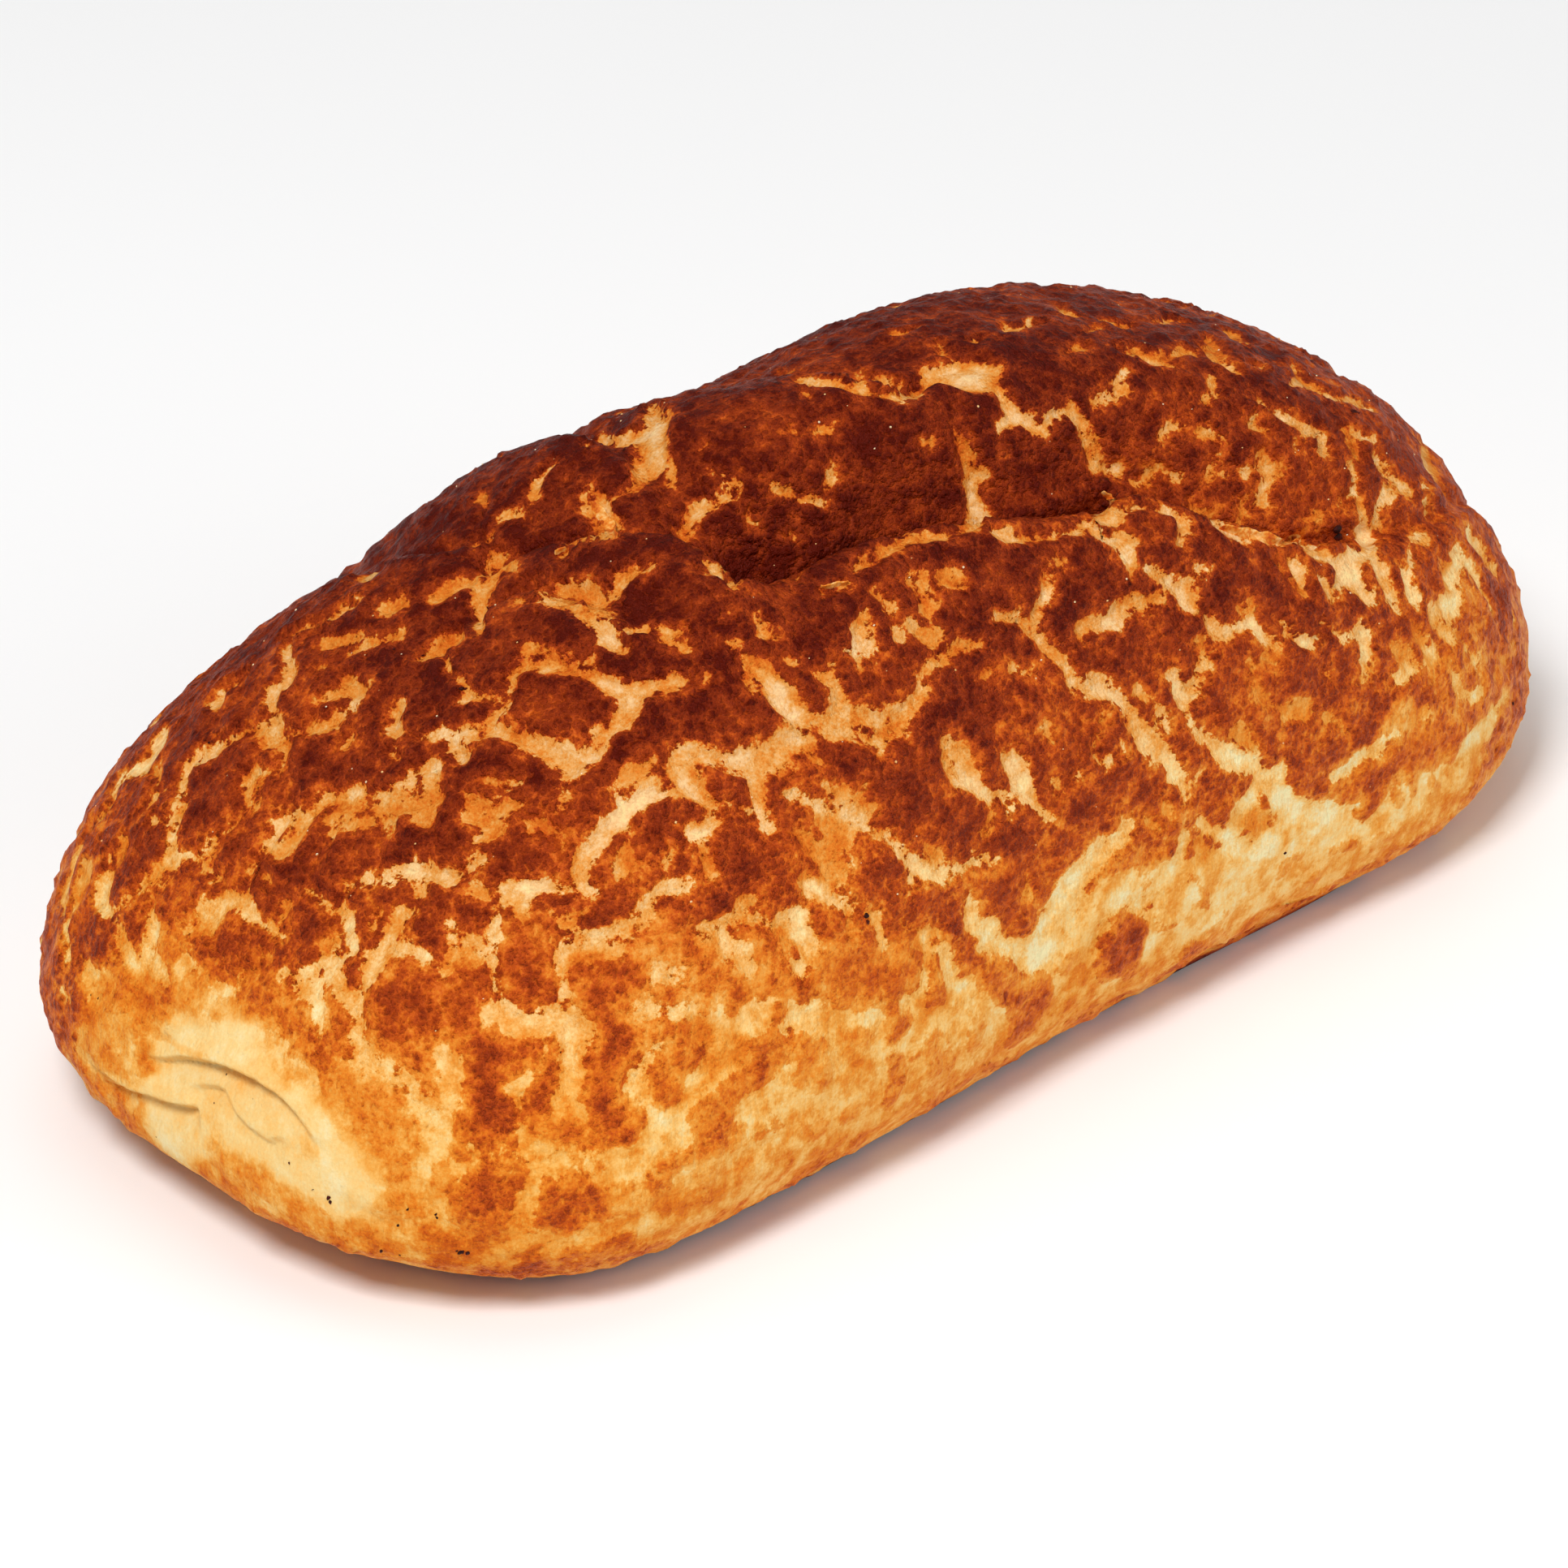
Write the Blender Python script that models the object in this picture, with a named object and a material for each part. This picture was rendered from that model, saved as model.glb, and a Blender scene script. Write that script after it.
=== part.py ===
"""A tiger bread loaf: one long rolled loaf, uncut, with a mottled rice-paste crust.

Metres, +Z up. +X runs along the loaf from its pale swirled end to its browner end, -Y is the long side
that the open fold faces, and the origin is under the middle of the loaf, on the level of its flat base.

The form is built in three steps. A box of quads is bent on to a smooth loaf, worked out from the sizes
below. Folds then follow paths across the crust, each with a rounded lip on one side and a valley on the
other. Last, swellings and a slight unevenness are added, and the base is made flat.
"""

from collections import namedtuple

import bmesh
import bpy
import numpy as np
from mathutils import Vector, noise

COLLECTION_NAME = "tiger_bread_loaf"
NODE_NAME = "loaf"

# The loaf as a whole
LENGTH = 0.290
WIDTH = 0.145
HEIGHT = 0.108

# Its outline. An exponent of 2 gives an ellipse, and a larger one a squarer shape.
PLAN_EXPONENT = 3.3
ARCH_EXPONENT = 1.9
FOOT_EXPONENT = 2.2
WIDEST_LEVEL = 0.018
BASE_SHARE = 0.85
FAR_END_NARROWING = 0.10
FAR_END_RISE = 0.032

# The long front side is drawn in a little, low down and near the middle
WAIST_DEPTH = 0.0090
WAIST_AT = 0.014
WAIST_REACH = 0.080
WAIST_TOP = 0.065

# The quads along, across and up the box that is bent into the loaf
QUADS_ALONG = 60
QUADS_ACROSS = 31
QUADS_UP = 15
SHOULDER_ANGLE = np.radians(38.0)
RELAX_ROUNDS = 2
RELAX_ABOVE = 0.0005

# A fold's path is points of x, y, z and the fold's depth there, seen with its valley on the left
Fold = namedtuple("Fold", "path lip lip_width drop_width rise_width")
FRONT_FOLD = Fold(
    path=(
        (-0.046, -0.030, 0.097, 0.000),
        (-0.037, -0.031, 0.096, 0.014),
        (-0.012, -0.033, 0.097, 0.018),
        (0.004, -0.036, 0.095, 0.017),
        (0.026, -0.041, 0.090, 0.015),
        (0.038, -0.041, 0.090, 0.016),
        (0.050, -0.046, 0.083, 0.013),
        (0.068, -0.051, 0.072, 0.010),
        (0.082, -0.051, 0.067, 0.007),
        (0.099, -0.049, 0.062, 0.003),
        (0.120, -0.041, 0.056, 0.004),
        (0.134, -0.034, 0.046, 0.003),
    ),
    lip=0.0015,
    lip_width=0.020,
    drop_width=0.009,
    rise_width=0.034,
)
MIDDLE_FOLD = Fold(
    path=(
        (-0.074, 0.008, 0.092, 0.000),
        (-0.064, 0.006, 0.095, 0.005),
        (-0.054, -0.003, 0.099, 0.007),
        (-0.046, -0.013, 0.100, 0.010),
        (-0.042, -0.026, 0.098, 0.012),
        (-0.040, -0.033, 0.096, 0.000),
    ),
    lip=0.0020,
    lip_width=0.016,
    drop_width=0.008,
    rise_width=0.022,
)
NEAR_FOLD = Fold(
    path=(
        (-0.088, -0.004, 0.086, 0.000),
        (-0.078, -0.002, 0.091, 0.003),
        (-0.069, -0.005, 0.094, 0.004),
        (-0.064, -0.018, 0.095, 0.004),
        (-0.064, -0.030, 0.092, 0.000),
    ),
    lip=0.0015,
    lip_width=0.013,
    drop_width=0.007,
    rise_width=0.015,
)
RIDGE_FOLD = Fold(
    path=(
        (-0.030, 0.028, 0.102, 0.002),
        (-0.010, 0.015, 0.106, 0.004),
        (0.003, 0.000, 0.108, 0.005),
        (0.012, -0.010, 0.107, 0.004),
        (0.030, -0.014, 0.106, 0.000),
    ),
    lip=0.0015,
    lip_width=0.018,
    drop_width=0.008,
    rise_width=0.020,
)
SHOULDER_FOLD = Fold(
    path=(
        (-0.040, 0.040, 0.092, 0.003),
        (-0.037, 0.022, 0.100, 0.004),
        (-0.038, 0.004, 0.103, 0.003),
        (-0.042, -0.008, 0.102, 0.000),
    ),
    lip=0.0010,
    lip_width=0.016,
    drop_width=0.007,
    rise_width=0.012,
)
LEFT_FOLD = Fold(
    path=(
        (-0.080, 0.045, 0.078, 0.003),
        (-0.075, 0.030, 0.088, 0.004),
        (-0.071, 0.020, 0.093, 0.003),
        (-0.062, 0.012, 0.096, 0.000),
    ),
    lip=0.0005,
    lip_width=0.014,
    drop_width=0.008,
    rise_width=0.014,
)
SWIRL_FOLD = Fold(
    path=(
        (-0.139, -0.040, 0.030, 0.000),
        (-0.140, -0.031, 0.036, 0.002),
        (-0.141, -0.020, 0.038, 0.003),
        (-0.143, -0.008, 0.035, 0.003),
        (-0.144, 0.004, 0.031, 0.002),
        (-0.144, 0.016, 0.028, 0.000),
    ),
    lip=0.0015,
    lip_width=0.010,
    drop_width=0.005,
    rise_width=0.016,
)
FOOT_FOLD = Fold(
    path=(
        (-0.144, 0.002, 0.024, 0.000),
        (-0.144, 0.016, 0.022, 0.002),
        (-0.142, 0.030, 0.020, 0.003),
        (-0.136, 0.045, 0.018, 0.003),
        (-0.120, 0.060, 0.016, 0.000),
    ),
    lip=0.0020,
    lip_width=0.018,
    drop_width=0.006,
    rise_width=0.014,
)
FOLDS = (FRONT_FOLD, MIDDLE_FOLD, NEAR_FOLD, RIDGE_FOLD, SHOULDER_FOLD, LEFT_FOLD, SWIRL_FOLD, FOOT_FOLD)

# A swelling is a soft bump: its centre, how far it spreads and its height, below zero for a hollow
Swelling = namedtuple("Swelling", "centre spread height")
SWELLINGS = (
    Swelling(centre=(-0.143, 0.014, 0.010), spread=0.022, height=0.0018),
    Swelling(centre=(-0.118, 0.054, 0.046), spread=0.036, height=0.0016),
    Swelling(centre=(-0.134, -0.036, 0.009), spread=0.024, height=-0.0022),
    Swelling(centre=(-0.098, -0.062, 0.010), spread=0.030, height=0.0014),
    Swelling(centre=(-0.060, -0.065, 0.006), spread=0.024, height=-0.0014),
    Swelling(centre=(0.042, -0.058, 0.006), spread=0.032, height=-0.0014),
    Swelling(centre=(0.128, -0.045, 0.030), spread=0.022, height=-0.0012),
    Swelling(centre=(0.124, -0.022, 0.060), spread=0.020, height=0.0014),
    Swelling(centre=(0.104, 0.010, 0.078), spread=0.032, height=0.0015),
    Swelling(centre=(0.024, 0.031, 0.098), spread=0.024, height=0.0010),
    Swelling(centre=(0.002, 0.033, 0.096), spread=0.016, height=-0.0018),
    Swelling(centre=(-0.024, 0.034, 0.095), spread=0.013, height=0.0022),
    Swelling(centre=(-0.046, 0.040, 0.090), spread=0.015, height=0.0020),
    Swelling(centre=(-0.071, 0.047, 0.079), spread=0.020, height=-0.0018),
    Swelling(centre=(-0.008, -0.008, 0.102), spread=0.026, height=0.0022),
    Swelling(centre=(-0.060, -0.014, 0.098), spread=0.018, height=0.0018),
    Swelling(centre=(-0.052, 0.018, 0.098), spread=0.018, height=0.0015),
)

# The unevenness of the crust, as noise of this height over lumps of this size
LUMP_HEIGHT = 0.0011
LUMP_SIZE = 0.034
NOISE_ORIGIN = Vector((3.7, 1.9, 5.3))

CRUST_COLOUR = (0.33, 0.10, 0.022, 1.0)
CRUST_ROUGHNESS = 0.62


def smooth_step(value):
    """0 below 0, 1 above 1 and an S-curve between."""
    value = np.clip(value, 0.0, 1.0)
    return value * value * (3.0 - 2.0 * value)


def make_box(mesh):
    """A closed box from -1 to 1 each way, cut into quads along, across and up."""
    box = bmesh.new()
    bmesh.ops.create_cube(box, size=2.0)
    for axis, quads in enumerate((QUADS_ALONG, QUADS_ACROSS, QUADS_UP)):
        others = [other for other in range(3) if other != axis]
        edges = [
            edge
            for edge in box.edges
            if all(abs(edge.verts[0].co[other] - edge.verts[1].co[other]) < 1e-5 for other in others)
        ]
        bmesh.ops.subdivide_edges(box, edges=edges, cuts=quads - 1, use_grid_fill=True)
    bmesh.ops.recalc_face_normals(box, faces=box.faces)
    box.to_mesh(mesh)
    box.free()


def arch(angle):
    """Reach from the middle, as a share of the widest, and height at an angle up the loaf's section."""
    up = angle >= 0.0
    exponent = np.where(up, ARCH_EXPONENT, FOOT_EXPONENT)
    foot_radius = WIDEST_LEVEL / (1.0 - BASE_SHARE**FOOT_EXPONENT) ** (1.0 / FOOT_EXPONENT)
    radius = np.where(up, HEIGHT - WIDEST_LEVEL, foot_radius)
    reach = np.maximum(np.cos(angle), 0.0) ** (2.0 / exponent)
    rise = np.sign(angle) * radius * np.abs(np.sin(angle)) ** (2.0 / exponent)
    return reach, WIDEST_LEVEL + rise


def smooth_loaf(box):
    """The box's points bent on to the loaf without its folds. The box's underside becomes the base."""
    u, v, w = box.T
    loop = np.maximum(np.maximum(np.abs(u), np.abs(v)), 1e-9)
    squareness = (np.abs(u / loop) ** PLAN_EXPONENT + np.abs(v / loop) ** PLAN_EXPONENT) ** (
        1.0 / PLAN_EXPONENT
    )
    base_angle = -np.arccos(BASE_SHARE ** (FOOT_EXPONENT / 2.0))
    wall_angle = base_angle + (SHOULDER_ANGLE - base_angle) * (w + 1.0) / 2.0
    top_angle = np.pi / 2.0 - (np.pi / 2.0 - SHOULDER_ANGLE) * loop
    on_top = w > 1.0 - 1e-6
    on_base = w < -1.0 + 1e-6
    reach, z = arch(np.where(on_top, top_angle, wall_angle))
    reach = np.where(on_base, BASE_SHARE * loop, reach)
    z = np.where(on_base, 0.0, z)
    along = u / loop / squareness * reach
    across = v / loop / squareness * reach

    width = 1.0 - FAR_END_NARROWING * along
    x = along * LENGTH / 2.0
    y = across * WIDTH / 2.0 * width
    z = z * (1.0 + FAR_END_RISE * along)
    waist = np.exp(-(((x - WAIST_AT) / WAIST_REACH) ** 2)) * np.clip(1.0 - z / WAIST_TOP, 0.0, 1.0)
    y = y + WAIST_DEPTH * waist * np.clip(-across, 0.0, 1.0)
    return np.stack([x, y, z], axis=1)


def place_on_path(points, normals, path):
    """Signed distance of each point from a path, above zero on its left, and the fold's depth there."""
    path = np.array(path)
    starts, ends = path[:-1], path[1:]
    nearest = np.full(len(points), np.inf)
    side = np.zeros(len(points))
    depth = np.zeros(len(points))
    for start, end in zip(starts, ends):
        run = end[:3] - start[:3]
        share = np.clip((points - start[:3]) @ run / (run @ run), 0.0, 1.0)
        offset = points - (start[:3] + share[:, None] * run)
        distance = np.linalg.norm(offset, axis=1)
        closer = distance < nearest
        left = np.sum(np.cross(normals, run) * offset, axis=1)
        side = np.where(closer, np.sign(left), side)
        depth = np.where(closer, start[3] + share * (end[3] - start[3]), depth)
        nearest = np.where(closer, distance, nearest)
    return side * nearest, depth


def fold_height(points, normals, fold):
    """How far a fold lifts the crust at its lip and lowers it in its valley, whose far side is domed."""
    distance, depth = place_on_path(points, normals, fold.path)
    deepest = max(point[3] for point in fold.path)
    lip = fold.lip * depth / deepest * smooth_step(1.0 - np.abs(distance) / fold.lip_width)
    drop = smooth_step(distance / fold.drop_width)
    rest = 1.0 - np.clip((distance - fold.drop_width) / fold.rise_width, 0.0, 1.0)
    return lip - depth * drop * rest**2


def swelling_height(points, swelling):
    distance = np.linalg.norm(points - np.array(swelling.centre), axis=1)
    return swelling.height * np.exp(-((distance / swelling.spread) ** 2))


def lump_height(points):
    return np.array(
        [LUMP_HEIGHT * noise.noise(Vector(point) / LUMP_SIZE + NOISE_ORIGIN) for point in points]
    )


def shape_mesh(mesh):
    """Moves the box's points on to the crust."""
    count = len(mesh.vertices)
    box = np.empty(count * 3)
    mesh.vertices.foreach_get("co", box)
    points = smooth_loaf(box.reshape(-1, 3))
    mesh.vertices.foreach_set("co", points.ravel())
    mesh.update()
    normals = np.array([vertex.normal[:] for vertex in mesh.vertices])
    on_base = box.reshape(-1, 3)[:, 2] < -1.0 + 1e-6
    outward = points * (1.0, 1.0, 0.0) / np.maximum(np.linalg.norm(points[:, :2], axis=1), 1e-6)[:, None]
    normals = np.where(on_base[:, None], outward, normals)

    height = lump_height(points)
    for swelling in SWELLINGS:
        height += swelling_height(points, swelling)
    for fold in FOLDS:
        height += np.where(on_base, 0.0, fold_height(points, normals, fold))
    points = points + normals * height[:, None]
    points[:, 2] = np.where(on_base, 0.0, np.maximum(points[:, 2], 0.0))
    mesh.vertices.foreach_set("co", points.ravel())
    mesh.update()


def relax(mesh):
    """Evens out the quads a little, where a fold has stretched them. The base stays as it is."""
    crust = bmesh.new()
    crust.from_mesh(mesh)
    movable = [vertex for vertex in crust.verts if vertex.co.z > RELAX_ABOVE]
    for _ in range(RELAX_ROUNDS):
        bmesh.ops.smooth_vert(
            crust, verts=movable, factor=0.5, use_axis_x=True, use_axis_y=True, use_axis_z=True
        )
    crust.to_mesh(mesh)
    crust.free()


def centre(mesh):
    """Puts the middle of the loaf's outline over the origin."""
    points = np.array([vertex.co[:] for vertex in mesh.vertices])
    points[:, :2] -= (points[:, :2].min(axis=0) + points[:, :2].max(axis=0)) / 2.0
    mesh.vertices.foreach_set("co", points.ravel())
    mesh.update()


def crust_material():
    material = bpy.data.materials.new("crust")
    material.use_nodes = True
    shader = material.node_tree.nodes["Principled BSDF"]
    shader.inputs["Base Color"].default_value = CRUST_COLOUR
    shader.inputs["Roughness"].default_value = CRUST_ROUGHNESS
    shader.inputs["Metallic"].default_value = 0.0
    return material


def make_loaf(collection):
    mesh = bpy.data.meshes.new(NODE_NAME)
    make_box(mesh)
    shape_mesh(mesh)
    relax(mesh)
    centre(mesh)
    mesh.shade_smooth()
    mesh.materials.append(crust_material())
    loaf = bpy.data.objects.new(NODE_NAME, mesh)
    collection.objects.link(loaf)
    return loaf


def main():
    for obj in list(bpy.data.objects):
        bpy.data.objects.remove(obj, do_unlink=True)
    collection = bpy.data.collections.new(COLLECTION_NAME)
    bpy.context.scene.collection.children.link(collection)
    make_loaf(collection)


main()
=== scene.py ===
# %% [markdown]
# # The looks of a tiger bread loaf
#
# Tiger bread is a plain white loaf that is brushed with rice paste before it is baked. The paste can't stretch,
# so it dries, browns and tears into plates while the dough below goes on rising, and the pale dough shows in
# the cracks. This lesson dresses the loaf's CAD solid in that crust.
#
# The frame comes first. It brings the solid at its true size and place, in metres, and it stays as it is.
# Everything below is built around it. The box of the solid is worked out and printed.

# %% Load the frame
import math

import bmesh
import bpy
import numpy as np
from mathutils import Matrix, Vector, noise
from mathutils.bvhtree import BVHTree


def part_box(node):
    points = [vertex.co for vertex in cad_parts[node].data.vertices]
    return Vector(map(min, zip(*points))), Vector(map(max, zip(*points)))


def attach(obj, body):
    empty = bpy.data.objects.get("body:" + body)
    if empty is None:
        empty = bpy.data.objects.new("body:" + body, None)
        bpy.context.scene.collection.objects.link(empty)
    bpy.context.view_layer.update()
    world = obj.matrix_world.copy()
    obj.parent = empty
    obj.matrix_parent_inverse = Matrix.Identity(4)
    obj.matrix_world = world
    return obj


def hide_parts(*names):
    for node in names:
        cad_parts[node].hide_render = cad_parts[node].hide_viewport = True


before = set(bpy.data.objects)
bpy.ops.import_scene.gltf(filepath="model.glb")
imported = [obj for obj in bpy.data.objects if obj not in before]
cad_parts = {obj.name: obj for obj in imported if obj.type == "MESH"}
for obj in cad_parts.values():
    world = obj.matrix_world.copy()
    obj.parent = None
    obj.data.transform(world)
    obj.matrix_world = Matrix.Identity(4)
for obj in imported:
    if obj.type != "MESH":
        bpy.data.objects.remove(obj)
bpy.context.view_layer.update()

loaf_low, loaf_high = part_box("loaf")
print("the solid's box, in mm:", [round(1000 * side, 1) for side in loaf_high - loaf_low])

# %% [markdown]
# ## The camera
#
# The loaf was seen from in front of its near end and from above, by a camera far away for its size. A long
# lens matches that: the further the camera, the less the far end shrinks. A camera could be aimed with a
# constraint, but a turn worked out from two points is easier to read and holds nothing live.
#
# The same numbers also turn a pixel of the photograph into a line through the scene. Cracks and spots that
# were noted on the photograph are placed with it later, each on the crust that carries it.

# %% Place the camera
MM = 0.001
PHOTO_SIDE = 1932
FOCAL_PIXELS = 9131.0
SENSOR_WIDTH = 36.0
VIEW_AZIMUTH = math.radians(-40.113)
VIEW_ELEVATION = math.radians(31.387)
VIEW_DISTANCE = 1.3
LOOKED_AT = Vector((0.0, 0.0, 0.045))
AIM_RIGHT, AIM_UP = -6.6 * MM, -14.07 * MM
NEAREST_SHOWN = 0.05

view_back = Vector((
    math.sin(VIEW_AZIMUTH) * math.cos(VIEW_ELEVATION),
    -math.cos(VIEW_AZIMUTH) * math.cos(VIEW_ELEVATION),
    math.sin(VIEW_ELEVATION),
))
view_right = Vector((math.cos(VIEW_AZIMUTH), math.sin(VIEW_AZIMUTH), 0.0))
view_up = view_back.cross(view_right)
camera_place = LOOKED_AT + view_back * VIEW_DISTANCE
aim = LOOKED_AT + view_right * AIM_RIGHT + view_up * AIM_UP
camera_turn = (camera_place - aim).to_track_quat("Z", "Y")

scene = bpy.context.scene
camera = bpy.data.objects.new("camera", bpy.data.cameras.new("camera"))
camera.location = camera_place
camera.rotation_mode = "QUATERNION"
camera.rotation_quaternion = camera_turn
camera.data.sensor_width = SENSOR_WIDTH
camera.data.lens = FOCAL_PIXELS / PHOTO_SIDE * SENSOR_WIDTH
camera.data.clip_start = NEAREST_SHOWN
scene.collection.objects.link(camera)
scene.camera = camera
print("the lens, in mm:", round(camera.data.lens, 1))

# %% Turn pixels into lines, and points into pixels
def photo_line(x, y):
    """The direction from the camera through a pixel of the photograph."""
    across = (x - PHOTO_SIDE / 2) / FOCAL_PIXELS
    upward = (PHOTO_SIDE / 2 - y) / FOCAL_PIXELS
    return (camera_turn @ Vector((across, upward, -1.0))).normalized()


def photo_pixels(points):
    """Where points of the scene lie on the photograph, and how many pixels a metre is there."""
    axes = np.array([camera_turn @ Vector(axis) for axis in ((1, 0, 0), (0, 1, 0), (0, 0, -1))])
    across, upward, away = ((points - np.array(camera_place)) @ axes.T).T
    per_metre = FOCAL_PIXELS / away
    return PHOTO_SIDE / 2 + across * per_metre, PHOTO_SIDE / 2 - upward * per_metre, per_metre

# %% [markdown]
# ## Where the crust tore
#
# The pattern is the loaf's whole character, so it isn't left to chance on the side that the photograph shows.
# Each tear was followed as a stroke: a row of numbers that are the x, y and full width of one point
# after the other, in pixels of the photograph. A noise texture alone would give a crust of the same kind, but
# not this loaf. The strokes fall into coats, laid on in order as a painter would: pale ground where the paste
# ran thin, plates left standing on that ground, and then thin tan places and the open cracks.

# %% Strokes: the pale ground, low on the loaf
GROUND = (
    (205, 1262, 30, 250, 1270, 50, 300, 1290, 60, 335, 1310, 70, 360, 1345, 70, 385, 1390, 60),
    (215, 1320, 50, 260, 1335, 60, 300, 1360, 90, 340, 1400, 100, 370, 1440, 90),
    (150, 1345, 30, 190, 1360, 60, 230, 1385, 70, 270, 1420, 70, 310, 1455, 60, 360, 1480, 60),
    (175, 1290, 24, 200, 1300, 30, 230, 1310, 30),
    (400, 1440, 80, 450, 1480, 90, 500, 1510, 90, 560, 1535, 60, 620, 1545, 44, 680, 1530, 24),
    (545, 1310, 44, 540, 1350, 60, 530, 1390, 70, 540, 1430, 70, 530, 1470, 60),
    (600, 1255, 26, 650, 1262, 34, 700, 1265, 50, 700, 1300, 60, 690, 1350, 44, 640, 1340, 40),
    (640, 1330, 24, 640, 1370, 26, 660, 1400, 40, 700, 1380, 50, 740, 1420, 44, 700, 1430, 40),
    (560, 1420, 30, 600, 1418, 26, 650, 1425, 50, 680, 1440, 30, 650, 1480, 30, 640, 1520, 30),
    (745, 1440, 40, 790, 1420, 60, 830, 1390, 60, 820, 1375, 50, 790, 1340, 24, 800, 1310, 20),
    (770, 1450, 50, 820, 1480, 60, 870, 1470, 60, 920, 1450, 70, 980, 1420, 60, 1040, 1385, 60),
    (700, 1540, 30, 760, 1520, 40, 830, 1510, 40, 900, 1485, 40, 960, 1445, 40, 1040, 1405, 36),
    (880, 1260, 40, 900, 1290, 60, 880, 1320, 40, 860, 1340, 30, 850, 1350, 24),
    (900, 1270, 50, 950, 1250, 40, 1000, 1260, 40, 1040, 1280, 40, 1030, 1320, 60, 990, 1350, 60),
    (930, 1370, 50, 960, 1350, 40, 990, 1330, 50, 1040, 1330, 60, 1080, 1300, 50, 1070, 1350, 70),
    (1040, 1250, 40, 1080, 1260, 30, 1120, 1290, 30, 1150, 1260, 40, 1160, 1220, 50, 1140, 1170, 40),
    (1100, 1370, 50, 1140, 1330, 50, 1180, 1300, 50, 1160, 1250, 50, 1190, 1230, 50, 1220, 1280, 50),
    (1180, 1320, 40, 1230, 1290, 40, 1290, 1270, 30, 1310, 1240, 50, 1330, 1200, 60, 1300, 1170, 60),
    (1330, 1230, 40, 1380, 1215, 30, 1430, 1180, 40, 1440, 1140, 60, 1480, 1130, 60, 1520, 1120, 60),
    (1400, 1120, 40, 1440, 1090, 50, 1480, 1080, 60, 1530, 1070, 60, 1560, 1080, 60, 1590, 1100, 30),
    (1480, 1145, 30, 1540, 1120, 40, 1600, 1090, 50, 1650, 1060, 50, 1700, 1035, 50, 1760, 1005, 40),
    (1560, 1050, 50, 1610, 1030, 60, 1650, 1015, 64, 1700, 1010, 60, 1740, 990, 50, 1780, 970, 44),
    (1790, 985, 30, 1805, 950, 40, 1815, 925, 30, 1832, 900, 14, 1845, 870, 10, 1856, 850, 6),
    (1390, 1090, 30, 1360, 1120, 50, 1340, 1150, 50, 1345, 1190, 30),
    (110, 1205, 26, 125, 1225, 40, 120, 1250, 26, 105, 1275, 12),
    (190, 1412, 30, 240, 1442, 34, 290, 1464, 34, 340, 1486, 30, 400, 1508, 30, 460, 1526, 26, 530, 1546, 20),
    (100, 1296, 18, 125, 1322, 26, 150, 1345, 26, 170, 1368, 24, 195, 1392, 20),
    (225, 1185, 24, 238, 1200, 24, 255, 1215, 16, 280, 1222, 16, 300, 1232, 10),
)

# %% Strokes: plates that stand on the pale ground
RUST_PLATES = (
    (495, 1196, 26, 478, 1214, 44, 512, 1212, 40, 488, 1240, 60),
    (645, 1145, 54, 650, 1180, 64, 654, 1210, 58, 650, 1232, 34),
    (592, 1198, 24, 596, 1220, 30, 578, 1232, 40),
    (752, 1290, 40, 748, 1312, 44, 762, 1318, 40),
    (605, 1280, 28, 604, 1292, 30),
    (1205, 1100, 40, 1235, 1095, 50, 1255, 1115, 30),
    (1392, 1140, 20, 1375, 1155, 40, 1378, 1178, 44, 1400, 1150, 24),
    (1672, 968, 30, 1692, 978, 34, 1710, 966, 24, 1685, 995, 24),
    (735, 1228, 22, 752, 1212, 22, 770, 1208, 20),
    (630, 1300, 16, 638, 1318, 22, 628, 1322, 16),
    (680, 1290, 12, 676, 1318, 14, 662, 1344, 26, 652, 1354, 20),
    (590, 1345, 30, 608, 1362, 50, 612, 1385, 44, 600, 1404, 34),
    (785, 1392, 18, 770, 1402, 16),
)
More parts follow.
